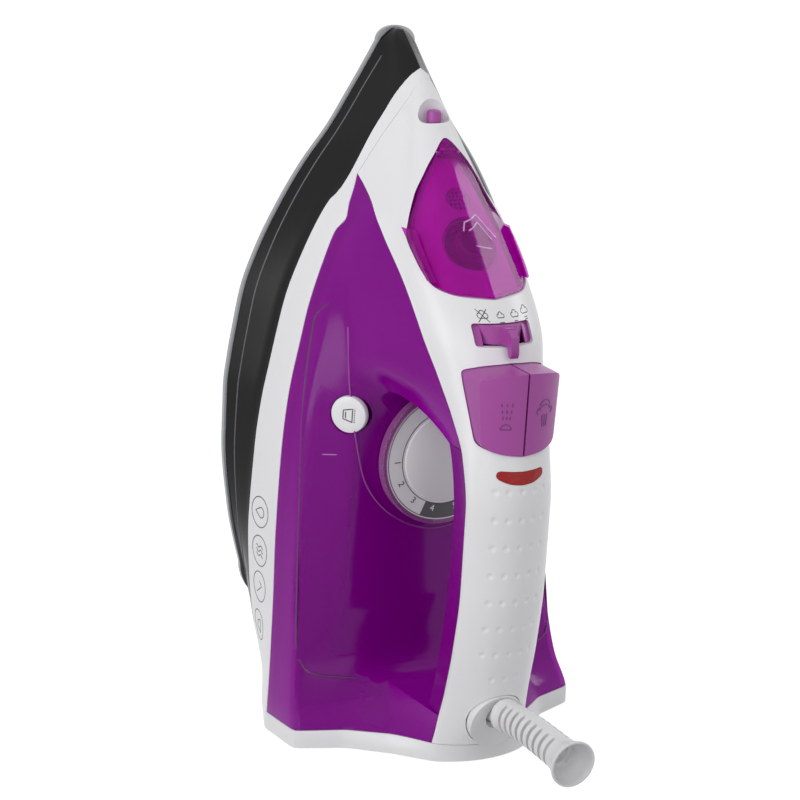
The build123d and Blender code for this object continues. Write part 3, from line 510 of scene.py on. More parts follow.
def plastic(name, color, rough, coat=0.0, metal=0.0, grain=900, bump=0.02, vary=0.04, clear=0.0,
            tint=None, gloss=0.5):
    """A moulded finish: fine grain, patchy roughness, a slight drift of colour; clear is the share of
    light that passes straight through, tinted."""
    material = bpy.data.materials.new(name)
    material.use_nodes = True
    tree = material.node_tree
    shader = tree.nodes["Principled BSDF"]
    coords, mix = add_node(tree, "TexCoord"), add_node(tree, "Mix")
    fine, broad = add_node(tree, "TexNoise", Scale=grain, Detail=4), add_node(tree, "TexNoise", Scale=14)
    ramp = add_node(tree, "MapRange", To_Min=max(rough - 0.05, 0.02), To_Max=rough + 0.06)
    relief = add_node(tree, "Bump", Strength=bump, Distance=0.0004)
    mix.data_type = "RGBA"
    put(mix, A=(*[c * (1 - vary) for c in color], 1), B=(*[min(c * (1 + vary), 1) for c in color], 1))
    put(shader, Metallic=metal, Specular_IOR_Level=gloss, Coat_Weight=coat, Coat_Roughness=0.05)
    connect(tree, (coords, "Object", fine, "Vector"), (coords, "Object", broad, "Vector"),
            (broad, "Fac", ramp, "Value"), (ramp, "Result", shader, "Roughness"),
            (broad, "Fac", mix, "Factor"), (mix, "Result", shader, "Base Color"),
            (fine, "Fac", relief, "Height"), (relief, "Normal", shader, "Normal"))
    if clear:
        through, blend = add_node(tree, "BsdfTransparent", Color=(*tint, 1)), add_node(tree, "MixShader")
        facing = add_node(tree, "LayerWeight", Blend=0.35)
        share = add_node(tree, "MapRange", To_Min=1 - clear, To_Max=1)
        connect(tree, (facing, "Facing", share, "Value"), (share, "Result", blend, "Fac"),
                (through, "BSDF", blend, 1), (shader, "BSDF", blend, 2),
                (blend, "Shader", tree.nodes["Material Output"], "Surface"))
    return material


white = plastic("white_satin", (0.80, 0.80, 0.815), rough=0.32)
white_matte = plastic("white_fine", (0.78, 0.78, 0.79), rough=0.42)
black = plastic("black_gloss", (0.004, 0.004, 0.005), rough=0.2, gloss=0.2)
# The bead's grey, lighter than the black skirt, is a painted highlight along the skirt's lower crease.
bead_painted_highlight = plastic("bead_painted_highlight", (0.09, 0.09, 0.095), rough=0.18)
tank_purple = plastic("tank_purple", (0.36, 0.0, 0.40), rough=0.12, bump=0.0, clear=0.6, gloss=0.3,
                      tint=(0.80, 0.02, 0.84))
under_purple = plastic("under_purple", (0.20, 0.0, 0.22), rough=0.12, bump=0.0)
door_purple = plastic("door_magenta", (0.42, 0.0, 0.37), rough=0.08, bump=0.0, clear=0.86, gloss=0.5,
                      tint=(0.93, 0.03, 0.88))
solid_purple = plastic("solid_purple", (0.36, 0.055, 0.32), rough=0.34)
sole_metal = plastic("sole_grey", (0.30, 0.31, 0.33), rough=0.34, metal=0.9, grain=300, bump=0.03)
steel = plastic("steel", (0.5, 0.5, 0.52), rough=0.3, metal=1.0)
brass = plastic("brass", (0.62, 0.45, 0.2), rough=0.3, metal=1.0)
alloy = plastic("alloy", (0.5, 0.5, 0.51), rough=0.45, metal=1.0, grain=200, bump=0.08)
rubber = plastic("seal_rubber", (0.03, 0.03, 0.032), rough=0.6)
grey = plastic("grey_moulding", (0.45, 0.45, 0.47), rough=0.45)
hose_milky = plastic("milky_hose", (0.7, 0.7, 0.68), rough=0.35, clear=0.3, tint=(0.9, 0.9, 0.88))
dial_clear = plastic("dial_clear", (0.50, 0.16, 0.46), rough=0.1, coat=0.4, bump=0.0, clear=0.75,
                     tint=(0.96, 0.84, 0.95))
label_white = plastic("label_white", (0.84, 0.84, 0.85), rough=0.36, vary=0.02)
ink = plastic("ink", (0.05, 0.05, 0.055), rough=0.5)
ink_grey = plastic("ink_grey", (0.09, 0.09, 0.10), rough=0.5)
lens_red = plastic("lens_red", (0.36, 0.004, 0.006), rough=0.25, grain=520, bump=0.9, vary=0.3, gloss=0.3)
lamp_glass = plastic("lamp_glass", (0.7, 0.2, 0.1), rough=0.15, clear=0.3, tint=(1, 0.5, 0.4))
icon_painted_shade = plastic("icon_painted_shade", (0.16, 0.03, 0.15), rough=0.4)
# The button icons' darker purple is painted shade of the engraved icon lines.
panel_purple = plastic("panel_purple", (0.10, 0.0, 0.11), rough=0.2)
# The deck ridge's lighter purple is a painted highlight along the tank's crease.
ridge_painted_highlight = plastic("ridge_painted_highlight", (0.27, 0.03, 0.28), rough=0.2)
# The door's raised chevron lines are pale purple: a painted highlight where the ribs catch the light.
door_chevron_highlight = plastic("door_chevron_painted_highlight", (0.62, 0.34, 0.60), rough=0.25)
level_ink = plastic("level_ink", (0.42, 0.20, 0.42), rough=0.4)
guard_soft = plastic("guard_soft", (0.74, 0.74, 0.75), rough=0.4)

# Finishes of the solids that are shown as they are.
CAD_FINISH = {
    steel: ["heating_element", "cover_screws", "heel_screws", "door_hinge_pin",
            "steam_spring", "spray_spring", "clean_spring"],
    brass: ["thermostat", "drip_tube", "valve_rod"],
    alloy: ["steam_chamber_cover"],
    rubber: ["chamber_gasket", "valve_seat", "inlet_seal"],
    grey: ["terminal_block", "inlet_strainer", "steam_pump", "spray_pump", "steam_piston", "spray_piston"],
    white_matte: ["thermal_fuse", "wires", "dial_shaft", "filler_tray", "cord_swivel"],
    hose_milky: ["steam_tube", "spray_hose"],
    under_purple: ["handle_underside"],
    dial_clear: ["dial_knob"],
    label_white: ["dial_label"],
    lamp_glass: ["indicator_lamp"],
}
for finish, names in CAD_FINISH.items():
    for name in names:
        mesh = nodes[name].data
        for i in range(len(mesh.materials)):
            mesh.materials[i] = finish

# ---- covers
FINGER = rounded([(31.5, 132), (31.5, 60.9), (147.8, 60.9), (146.6, 79), (137.2, 99.3), (136.9, 132)],
                 [0, 13, 7, 16, 0, 0], steps=8)


SIDES = ((-1, "left"), (1, "right"))
WALL, THIN_WALL = 2.4, 2.2
ACROSS = (-90, 90)  # right through the iron
HEEL_TOP, COVER_FOOT = 7.0, 7.2


def narrowed(rows, wall, least=0.4):
    """Right-hand rows moved inwards by a wall's thickness."""
    return [[(max(x - wall, least), y, z) for x, y, z in row] for row in rows]


# The black skirt, rounded off at the tip and open below for the chamber.
skirt_stations = stations(STERN, 264, 2.5) + [266, 268, 269.6, 271, 272.2, 273.2, 274, 274.6, 275]
rows = strip(skirt_stations, None, lambda y: skirt_line(y) - SEAM, [SKIRT_TOP], [14, 3])
ROUND_FROM, ROUND_REACH = 270, 5.4
for row in rows:
    round_off = math.sqrt(max(1 - max((row[0][1] - ROUND_FROM) / ROUND_REACH, 0)**2, 0.02))
    row[:] = [(x * round_off, y, z) for x, y, z in row]
skirt = loops_mesh(both_sides(rows))
heel_cut(skirt, COVER_FOOT)
pocket = strip(stations(-7, 258, 3), None, lambda y: skirt_line(y) - WALL, [SKIRT_TOP], [12, 2])
pocket = [[(row[0][0] - THIN_WALL, row[0][1], 0)] + inner
          for row, inner in zip(pocket, narrowed(pocket, THIN_WALL))]
CHAMBER = rounded([(-30, 56), (-13, 200), (13, 200), (30, 56)], [9, 9, 9, 9])
skirt = boolean(skirt, [loops_mesh(both_sides(pocket)), prism(CHAMBER, 0, 60)])
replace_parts(new_object("skirt_cover", skirt, "iron", black), "heat_shield")

# The white band: it runs round the iron and is open inside.
band_edges = (lambda y: skirt_line(y) + SEAM, lambda y: (tank_line(y) if y < TIP[0] else nose_seam(y)) - SEAM)
band_columns = ([TANK_FOOT, SIDE_CREASE, DECK_EDGE, ROOT, SHOULDER], [12, 4, 2, 2, 2, 2])
band = loops_mesh(both_sides(strip(stations(STERN, 262.4, 2.5), *band_edges, *band_columns)))
heel_cut(band, COVER_FOOT)
rows = narrowed(strip(stations(STERN - 1, 258, 3.75), *band_edges, *band_columns), WALL)
for row in rows:
    (x0, y, z0), (x1, _, z1) = row[0], row[-1]
    row[:] = [(x0, y, z0 - 8), *row, (x1, y, z1 + 8)]
band = boolean(band, [loops_mesh(both_sides(rows))])
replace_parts(new_object("white_band", band, "iron", white), "body_shell")

# The clear tank: its water space, the finger opening, and room for the self-cleaning button and the dial.
TANK_CREASES = [SIDE_CREASE, DECK_EDGE, ROOT]
tank = strip(stations(STERN, TIP[0], 2.4), lambda y: tank_line(y) + SEAM, lambda y: handle_line(y) - SEAM,
             TANK_CREASES, [10, 12, 14, 14])
tank = loops_mesh(both_sides(tank))
heel_cut(tank, COVER_FOOT)
water = strip(stations(-9, 214, 3), lambda y: tank_line(y) + 2.3, lambda y: handle_line(y) - 2.3,
              TANK_CREASES, [8, 8, 8, 8])
water = loops_mesh(both_sides(narrowed(water, THIN_WALL, 0.3)))
water = boolean(water, [side_prism(swell(FINGER, THIN_WALL), *ACROSS)])
clean_frame = translate((-38, 137, 56.5)) @ rotate(math.radians(-47.8), 4, "Y")
dial_room = translate((0, DIAL_Y, 61.3))
rooms = [drum(7.6, -8, 8, clean_frame), drum(27.6, 0, 7, dial_room)]
tank = boolean(tank, [side_prism(FINGER, *ACROSS), water, *rooms])
tank_piece = bevel(new_object("tank_cover", tank, "iron", tank_purple), 0.5, 2, 50)
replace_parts(tank_piece, "water_tank")

# The heel foot with its two screw wells.
heel = strip(stations(STERN, 30, 2.5), None, None, range(SKIRT_TOP, CROWN), [6, 8, 8, 8, 8, 8, 16])
heel = loops_mesh(both_sides(heel, closed=False))
heel_cut(heel, HEEL_TOP, keep_above=False)
heel_cut(heel, 0.0)
heel_frame = rotate(-math.radians(HEEL_LEAN), 4, "X")
SCREW_X, SCREW_Z, WELL_RADIUS = 30, 66, 3.6
wells = [drum(WELL_RADIUS, -1, 4, heel_frame @ translate((side * SCREW_X, 0, SCREW_Z)) @
              rotate(-math.pi / 2, 4, "X"), 32) for side in (-1, 1)]
heel = boolean(heel, wells)
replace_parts(bevel(new_object("heel_foot", heel, "iron", white), 0.9, 3, 50), "heel_cover")

# Edges that show on the tank: one round the dial's deck, whose lighter purple is a painted highlight along
# the crease, and one round each side panel.
RIDGE = [(38.4, 170, 52.4), (38.5, 160, 54.1), (38.4, 148.3, 56.1), (37.4, 137, 58.4), (36.2, 127.4, 59.6),
         (32.4, 111.5, 60.7), (25.2, 100.7, 61.0), (16.2, 93.6, 61.0), (8, 90, 61.0), (0, 88.8, 61.0)]
ridge = [(-x, y, z) for x, y, z in RIDGE] + RIDGE[-2::-1]
new_object("tank_ridge", wire(flowing(ridge), 0.4), "iron", ridge_painted_highlight)
PANEL = [(42.1, 177.2, 43.4), (45.1, 173, 39.6), (47, 165.9, 39), (51, 139.6, 42.3), (53.2, 101.3, 47.4),
         (56.2, 47.5, 56.6), (55.3, 39.3, 59.4), (51, 34.6, 61.6), (34.7, 32.3, 66.2)]
for side, name in SIDES:
    edge = [(side * (x - 0.2), y, z) for x, y, z in PANEL]
    new_object("tank_panel_" + name, wire(flowing(edge), 0.4), "iron", panel_purple)

# ---- upper cover with its openings
DOOR = [(0, 239.4), (2.2, 237.9), (8.4, 230.4), (13.8, 221.5), (18.7, 211.9), (20.9, 206.5), (21.4, 203),
        (21, 196), (19.5, 191.4), (14, 189.4), (0, 188.5)]
BUTTON = [(0.35, 167.9), (10, 167.3), (16.6, 165.2), (15, 140.6), (9, 138.1), (0.35, 137.2)]
LENS = [(0, 131.5), (9.2, 131.9), (9.7, 129.3), (5, 127.2), (0, 126.8)]
BUTTON_ROOM = [(0, 168.2), (10, 167.6), (16.9, 165.4), (15.3, 140.4), (9, 137.8), (0, 136.9)]
BUTTON_RADII = [0, 5, 1.8, 2.2, 4, 0]
DIMPLE_ROWS = [(60.6 + 10.6 * k, (-9.9, -5.2, 0, 5.2, 9.9)) for k in range(7)] + [(50, (-5.2, 0, 5.2))]
DIMPLE_RADIUS, DIMPLE_DEPTH = 1.3, 0.42


def even_outline(half, radii, steps):
    """A rounded plan outline that is the same on both sides, from its right half."""
    mirrored = [(-x, y) for x, y in reversed(half) if x > 0]
    return rounded(half + mirrored, radii + radii[-2:0:-1], steps)


DOOR_PLAN = even_outline(DOOR, [1.2, 2.2, 3, 3, 3, 3, 2.5, 2.5, 2.5, 4, 0], 4)
LENS_PLAN = even_outline(LENS, [0, 1.5, 1.8, 4, 0], 5)


def dimple_depth(x, y):
    """How deep the grip's dimples are at a point of the plan."""
    for row_y, places in DIMPLE_ROWS:
        if abs(y - row_y) < 2.2:
            for place in places:
                away = math.hypot(x - place, y - row_y) / DIMPLE_RADIUS
                if away < 1:
                    return DIMPLE_DEPTH * math.cos(away * math.pi / 2)**1.2
    return 0.0


rows = strip(stations(STERN, 44, 2) + stations(44.5, 129, 0.5) + stations(130, 266, 1.5),
             lambda y: (handle_line(y) if y < TIP[0] else nose_seam(y)) + SEAM, None, [SHOULDER], [8, 60])
arches = both_sides(rows, closed=False)
for row in arches:
    for i, (x, y, z) in enumerate(row):
        sink = dimple_depth(x, y)
        if sink:
            row[i] = (x * (1 - sink / 30), y, z - sink)
upper = thicken(sheet_mesh(arches), WALL)
heel_cut(upper, COVER_FOOT)
NOZZLE_Y, NOZZLE_Z = 248.4, 38.4


def dent(grow):
    """The shallow scoop that the nozzle stands in."""
    centre, reach = Vector((-0.6, 248.0, 39.6)), Vector((6.6 + grow, 8.2 + grow, 4.6 + grow))
    round_it = np.linspace(0, 2 * math.pi, 40, endpoint=False)
    loops = []
    for k in range(1, 16):
        wide, ahead = math.sin(math.pi * k / 16), math.cos(math.pi * k / 16)
        loops.append([centre + Vector((reach.x * wide * math.cos(a), -reach.y * ahead,
                                       reach.z * wide * math.sin(a))) for a in round_it])
    return loops_mesh(loops)


SWIVEL_Y, SWIVEL_ROOM = 31.5, 11.5
LEVER_SLOT = rounded([(-12, 173.6), (12, 173.6), (12, 181.2), (-12, 181.2)], [1.6] * 4)
openings = [(swell(DOOR_PLAN, 0.4), 30, 140), (swell(LENS_PLAN, 0.15), 90, 140),
            (even_outline(BUTTON_ROOM, BUTTON_RADII, 5), 70, 150), (LEVER_SLOT, 90, 130)]
swivel_hole = drum(SWIVEL_ROOM, -8, 8, crown_frame(SWIVEL_Y))
upper = boolean(upper, [prism(*opening) for opening in openings] + [dent(0.0), swivel_hole])
upper_piece = bevel(new_object("upper_cover", upper, "iron", white), 0.3, 2, 45)
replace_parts(upper_piece, "handle_shell")

# The nozzle's seat fills the cover behind the scoop.
solid_nose = strip(stations(232, 258, 1.5), nose_seam, None, [SHOULDER], [8, 20])
solid_nose = loops_mesh(both_sides(solid_nose, closed=False))
seat = boolean(solid_nose, [prism([(-9, 240.4), (9, 240.4), (9, 257), (-9, 257)], 26, 52)], "INTERSECT")
seat = boolean(seat, [dent(0.04), rod_mesh(2.9, 230, 260, NOZZLE_Z)])
new_object("nozzle_seat", seat, "iron", white)
nozzle_frame = translate((0, NOZZLE_Y, NOZZLE_Z)) @ rotate(-math.pi / 2, 4, "X")
NOZZLE_SIDES = [(0, -14), (1.3, -14), (1.3, -10.6), (2.75, -10.6), (2.75, -1.1), (2.55, -0.45), (2.0, -0.08),
                (1.5, 0), (0.75, 0), (0.55, -0.9), (0, -0.9)]
nozzle = turned(NOZZLE_SIDES, nozzle_frame, 40)
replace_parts(new_object("nozzle_tip", nozzle, "iron", solid_purple), "spray_nozzle")

# ---- filling door
def crown_sheet(y0, y1, depth, lift, step=0.8):
    """A wall that follows the crown between two places along the iron."""
    rows = []
    for y in stations(y0, y1, step):
        place, xs, zs = outline(y, grow=lift)
        spots = np.linspace(SHOULDER - 0.6, CROWN, 40)
        rows.append([(float(np.interp(u, place, xs)), y, float(np.interp(u, place, zs))) for u in spots])
    return thicken(sheet_mesh(both_sides(rows, closed=False)), depth)


FILL_Y, HINGE_Y = 207.0, 235.4
DOOR_CREASE = ([186, 193, 209, 226, 238], [16, 15.3, 13.2, 9.2, 2.6])
DOOR_SIDE = 7  # width of the facet beyond the crease


def facets(y):
    """The door's cross-section: straight facets over the crown, as places across and their heights."""
    crease = float(np.interp(y, *DOOR_CREASE))
    across = [0, crease, crease + DOOR_SIDE]
    return across, [crown_at(x, y) for x in across]


def on_door(x, y, lift):
    """A place on the door's facets."""
    return (x, y, float(np.interp(abs(x), *facets(y))) + lift)


rows = []
for y in stations(186, 243, 0.8):
    knots, heights = facets(y)
    across = [*np.linspace(0, knots[1], 7), *np.linspace(knots[1], knots[2], 5)[1:]]
    half = [(float(x), y, float(np.interp(x, knots, heights))) for x in across]
    rows.append(half[::-1] + [(-x, y, z) for x, y, z in half[1:]])
panel = boolean(thicken(sheet_mesh(rows), 2.0), [prism(DOOR_PLAN, 20, 140)], "INTERSECT")
door = bevel(new_object("door_panel", panel, "door", door_purple, 12), 0.45, 3, 45)
EAR_STANDS = 1.9
ear_meshes = []
for side in (-1, 1):
    edge = [(side * 21.3, 208.5), (side * 21.6, 204), (side * 21.2, 196), (side * 20.6, 193)]
    inward = [(x - side * EAR_STANDS, y) for x, y in reversed(edge)]
    ear = prism(edge + inward, 20, 140)
    ear_meshes.append(boolean(crown_sheet(188, 213, 3.9, EAR_STANDS), [ear], "INTERSECT"))
bevel(new_object("door_ears", joined(ear_meshes), "door", door_purple, 50), 0.4, 2, 45)
plug = ring_mesh(crown_frame(FILL_Y), 5.6, 6.8, -6.2, -1.6)
new_object("door_plug", plug, "door", door_purple)
barrel_frame = crown_frame(HINGE_Y) @ translate((0, 0, -1.9)) @ rotate(math.pi / 2, 4, "Y")
barrel = ring_mesh(barrel_frame, 1.0, 1.9, -3.2, 3.2, 32)
new_object("door_barrel", barrel, "door", door_purple)
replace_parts(door, "fill_door")

# ---- buttons
ARCH_TOP, ARCH_RADIUS, ARCH_HALF = 122.0, 24.0, 18.5
REST_ON = 5.4


def arch_at(x):
    """Height of the arched top that both buttons share."""
    return ARCH_TOP - ARCH_RADIUS + math.sqrt(ARCH_RADIUS**2 - x * x)


def button_mesh(side):
    """One thumb button: the plan's walls, an arched top and a lower edge along the handle's parting line."""
    plan = [(side * x, y) for x, y in rounded(BUTTON, BUTTON_RADII, steps=5)]
    low = [(y, handle_line(y) + REST_ON) for y in (130, 140, 150, 160, 172)]
    profile = side_prism(low + [(172, 135), (130, 135)], -30, 30)
    arc = [(x, arch_at(x)) for x in (ARCH_HALF * (1 - k / 12) for k in range(25))]
    section = [(-ARCH_HALF, 70), (ARCH_HALF, 70)] + arc
    roof = loops_mesh([[(x, y, z) for x, z in section] for y in (125, 180)])
    return boolean(prism(plan, 75, 135), [profile, roof], "INTERSECT")


for side, kind in ((1, "steam"), (-1, "spray")):
    piece = new_object(kind + "_key_top", button_mesh(side), kind + "_key", solid_purple, 30)
    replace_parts(bevel(piece, 0.75, 3, 40), kind + "_button")

# ---- indicator window
lens = boolean(crown_sheet(125, 135, 1.8, 0.12, step=0.4), [prism(LENS_PLAN, 90, 140)], "INTERSECT")
lens_piece = new_object("lens_window", lens, "iron", lens_red)
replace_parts(bevel(lens_piece, 0.25, 2, 45), "indicator_lens")

# ---- steam lever
LEVER_Y, DRUM_Z, DRUM_RADIUS, DRUM_HALF = 177.4, 94.0, 10.0, 3.4
FIN_SIDE = [(180.5, 101), (180.3, 107), (178, 110.2), (172, 110.9), (170.4, 110.3), (170.5, 108.9),
            (174, 107.7), (174.3, 101)]
FIN_FOOT = [(-3.4, 100), (-1.6, 106.6), (1.6, 106.6), (3.4, 100)]
fin_foot = loops_mesh([[(x, y, z) for x, z in FIN_FOOT] for y in (174.2, 180.6)])
lever = boolean(rod_mesh(DRUM_RADIUS, LEVER_Y - DRUM_HALF, LEVER_Y + DRUM_HALF, DRUM_Z, 96),
                [prism([(-30, 170), (30, 170), (30, 185), (-30, 185)], 60, 90)])
lever = boolean(boolean(lever, [fin_foot], "UNION"), [side_prism(FIN_SIDE, -1.6, 1.6)], "UNION")
lever_piece = new_object("lever_grip", lever, "lever", solid_purple, 30)
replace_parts(bevel(lever_piece, 0.45, 3, 35), "steam_lever")
# Two small decks close the slot's ends beside the drum.
wings = []
for side in (-1, 1):
    rows = [[(side * x, y, crown_at(side * x, y) - 1.7) for x in (8.7, 9.9, 11.2, 12.4)]
            for y in (173.2, 175.3, 177.4, 179.5, 181.6)]
    wings.append(loops_mesh([row + [(x, y, z - 1.2) for x, y, z in reversed(row)] for row in rows]))
new_object("lever_well", joined(wings), "iron", solid_purple)

# ---- cord guard
GUARD_LENGTH = 50  # the tables give radii along it
GUARD_ROUTE = [(0, 36.1, 121.4), (0, 37.2, 128), (0, 38.4, 136), (0, 38.9, 144), (0, 39.2, 153),
               (0, 39.3, 162), (0, 39.1, 171.1)]
GUARD_OUT = ([0, 1.2, 3.2, 3.6, 6, 40, 44, 47.5, 49.2, GUARD_LENGTH],
             [5.4, 6.2, 6.2, 5.9, 6.0, 6.3, 6.7, 8.0, 8.75, 8.7])
GUARD_BORE = ([0, 6, 40, 43, 47, GUARD_LENGTH], [3.6, 4.4, 4.6, 5.1, 7.2, 8.1])
SLITS, FIRST_SLIT, SLIT_PITCH, HALF_SLIT = 9, 7.5, 4.1, 0.85


def guard_point(share):
    """A point and direction along the guard's bent middle line."""
    spots = np.array(GUARD_ROUTE)
    run = np.concatenate([[0], np.cumsum(np.linalg.norm(np.diff(spots, axis=0), axis=1))])
    at = [Vector([float(np.interp(share * run[-1] + d, run, spots[:, i])) for i in range(3)])
          for d in (-1.5, 0, 1.5)]
    return at[1], (at[2] - at[0]).normalized()


def guard_loop(distance, radii):
    """A ring round the guard's middle line, with its radius from a table."""
    radius = float(np.interp(distance, *radii))
    point, along = guard_point(distance / GUARD_LENGTH)
    up = Vector((1, 0, 0)).cross(along)
    return [point + Vector((1, 0, 0)) * radius * math.cos(a) + up * radius * math.sin(a)
            for a in np.linspace(0, 2 * math.pi, 48, endpoint=False)]


spots = sorted(set(GUARD_OUT[0]) | set(np.linspace(0, GUARD_LENGTH, 26)))
outer_loops = [guard_loop(d, GUARD_OUT) for d in spots]
inner_loops = [guard_loop(d, GUARD_BORE) for d in reversed(spots)]
sleeve = loops_mesh(outer_loops + inner_loops + [outer_loops[0]], caps=False)
slits = []
for k in range(SLITS):
    point, along = guard_point((FIRST_SLIT + SLIT_PITCH * k) / GUARD_LENGTH)
    turn = translate(point) @ along.to_track_quat("Z", "Y").to_matrix().to_4x4()
    for side in (-1, 1):
        corners = [(side * 2.1, -7.5), (side * 9, -7.5), (side * 9, 7.5), (side * 2.1, 7.5)]
        slits.append(loops_mesh([[turn @ Vector((x, y, z)) for x, y in corners]
                                 for z in (-HALF_SLIT, HALF_SLIT)]))
sleeve = boolean(sleeve, [joined(slits)])
tilt = crown_frame(SWIVEL_Y) @ translate((0, 2.4, -5.2))
NECK = [(0, -4.9), (1.9, -4.7), (3.6, -3.6), (4.8, -1.7), (5.2, 0), (4.7, 2.2), (3.4, 3.9), (3.2, 9.4),
        (0, 9.4)]
sleeve = joined([sleeve, boolean(turned(NECK, tilt, 48), [drum(2.2, -8, 12, tilt, 32)])])
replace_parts(new_object("guard_sleeve", sleeve, "guard", guard_soft, 40), "cord_guard")

# ---- soleplate
SOLE_LIP, SOLE_TIP, SOLE_TOP = 0.9, 275.9, 3.4
STERN_FROM, STERN_REACH = 60, 32
HOLE_ROWS = ((12.0, 244, 10), (24.0, 203, 7))  # inset from the edge, first hole, count
HOLE_PITCH = 11.0
HOLE_SIDES = [(0, -1), (2.0, -1), (2.0, 0.0), (1.25, 0.5), (1.25, 5), (0, 5)]


def sole_half(inset):
    """Half of the soleplate's plan from the stern to the tip."""
    points = [(float(form_row(y)[0]) + SOLE_LIP, float(y))
              for y in [*np.linspace(STERN_FROM, 262, 58), 265, 268, 270]]
    stern = [(points[0][0] * math.sin(a), STERN_FROM - STERN_REACH * math.cos(a))
             for a in np.linspace(0.0, math.pi / 2, 16)[:-1]]
    w, y0 = points[-1]
    tip = [(w * math.cos(a)**0.9, y0 + (SOLE_TIP - y0) * math.sin(a))
           for a in np.linspace(0, math.pi / 2, 10)[1:]]
    half = stern + points + tip
    moved_in = []
    for k, (x, y) in enumerate(half):
        a, b = half[max(k - 1, 0)], half[min(k + 1, len(half) - 1)]
        along = Vector((b[0] - a[0], b[1] - a[1])).normalized()
        moved_in.append((max(x - along.y * inset, 0.0), y + along.x * inset))
    moved_in[0], moved_in[-1] = (0.0, half[0][1] + inset), (0.0, half[-1][1] - inset)
    return moved_in


def sole_loop(inset, z):
    """The soleplate's whole plan, moved inwards, at a height."""
    half = sole_half(inset)
    return [(x, y, z) for x, y in half] + [(-x, y, z) for x, y in half[-2:0:-1]]


holes = []
for inset, first, count in HOLE_ROWS:
    for k in range(count):
        y = first - k * HOLE_PITCH
        x = float(form_row(y)[0]) - inset
        if x > 4:
            holes += [turned(HOLE_SIDES, translate((side * x, y, 0)), 24) for side in (-1, 1)]
edge_steps = ((1.3, 0), (0.6, 0.25), (0.15, 0.8), (0, 1.4), (0, SOLE_TOP))
sole_mesh = boolean(loops_mesh([sole_loop(*step) for step in edge_steps]), [joined(holes)])
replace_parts(new_object("sole_plate", sole_mesh, "iron", sole_metal, smooth=18), "soleplate")

# ---- skirt's lower bead: a thin wire at the skirt's crease, its grey lighter than the skirt as a painted highlight
BEAD_HEIGHT, BEAD_RADIUS, BEAD_SUNK = 7.6, 0.32, 0.12
TAPER_FROM, TAPER_REACH = 262, 12
for side, name in SIDES:
    bead = [flank(y, BEAD_HEIGHT, -BEAD_SUNK) for y in stations(30, 268, 4)]
    bead = [(side * x * math.sqrt(1 - (max(y - TAPER_FROM, 0) / TAPER_REACH)**2), y, z) for x, y, z in bead]
    new_object("skirt_bead_" + name, wire(bead, BEAD_RADIUS), "iron", bead_painted_highlight)

# ---- raised and printed marks
STROKE_SUNK = 0.25


def on_crown(x, y, lift):
    """A place over the crown."""
    return (x, y, crown_at(x, y) + lift)


def on_arch(x, y, lift):
    """A place over the buttons' tops."""
    return (x, y, arch_at(x) + lift)


def on_flank(y, z, lift):
    """A place over the left flank."""
    x, y, z = flank(y, z, lift)
    return (-x, y, z)


def strokes(lines, width, place, lift):
    """Flat closed ribbons along lines drawn on a surface."""
    meshes = []
    for points in lines:
        fine_points = []
        for a, b in zip(points, points[1:]):
            n = max(1, int(math.dist(a, b) / 0.8))
            fine_points += [(a[0] + (b[0] - a[0]) * k / n, a[1] + (b[1] - a[1]) * k / n) for k in range(n)]
        fine_points.append(points[-1])
        loops = []
        for i, p in enumerate(fine_points):
            along = Vector(fine_points[min(i + 1, len(fine_points) - 1)]) - Vector(fine_points[max(i - 1, 0)])
            side = Vector((-along.y, along.x)).normalized() * width / 2
            a, b = Vector(p) + side, Vector(p) - side
            loops.append([place(*a, lift), place(*b, lift), place(*b, -STROKE_SUNK), place(*a, -STROKE_SUNK)])
        meshes.append(loops_mesh(loops))
    return joined(meshes)


def arc_line(x, y, radius, start, end, count=14):
    """Points round an arc, in degrees."""
    angles = [math.radians(start + (end - start) * k / count) for k in range(count + 1)]
    return [(x + radius * math.cos(a), y + radius * math.sin(a)) for a in angles]


def moved(lines, x, y, scale=1.0, turn=0.0):
    """Drawn lines scaled, turned by degrees and moved."""
    c, s = math.cos(math.radians(turn)) * scale, math.sin(math.radians(turn)) * scale
    return [[(x + c * u - s * v, y + s * u + c * v) for u, v in points] for points in lines]


# Plain signs about their own middle.
CLOUD = [arc_line(-1.1, 0, 0.8, 60, 290, 8), arc_line(0, 0.7, 0.95, 10, 170, 8),
         arc_line(1.1, 0, 0.8, -110, 120, 8), [(-0.85, -0.75), (0.85, -0.75)]]
spray_icon = [[(x + 0.25 * x * k, y), (x + 0.25 * x * k + 0.1 * x, y + 1.3)]
              for k, y in enumerate((-1.4, 1.0, 3.4)) for x in (-1.2, 0, 1.2)]
spray_icon += [arc_line(0, -5, 1.9, 0, 180), [(-1.9, -5), (1.9, -5)]]
steam_icon = [arc_line(0, 2.3, 2.6, 15, 165), arc_line(0, 0.2, 2.9, 20, 160),
              arc_line(-2.6, 0.9, 1.2, 90, 250), arc_line(2.6, 0.9, 1.2, -70, 90)]
steam_icon += [[(x * 0.8, -5), (x, -0.6)] for x in (-1.2, 0, 1.2)]
# The icons are drawn as raised lines; their darker purple is painted shade of the engraved lines.
for kind, icon, x in (("spray", spray_icon, -7.6), ("steam", steam_icon, 8.2)):
    symbol = strokes(moved(icon, x, 152.6), 0.42, on_arch, 0.14)
    new_object(kind + "_symbol", symbol, kind + "_key", icon_painted_shade)
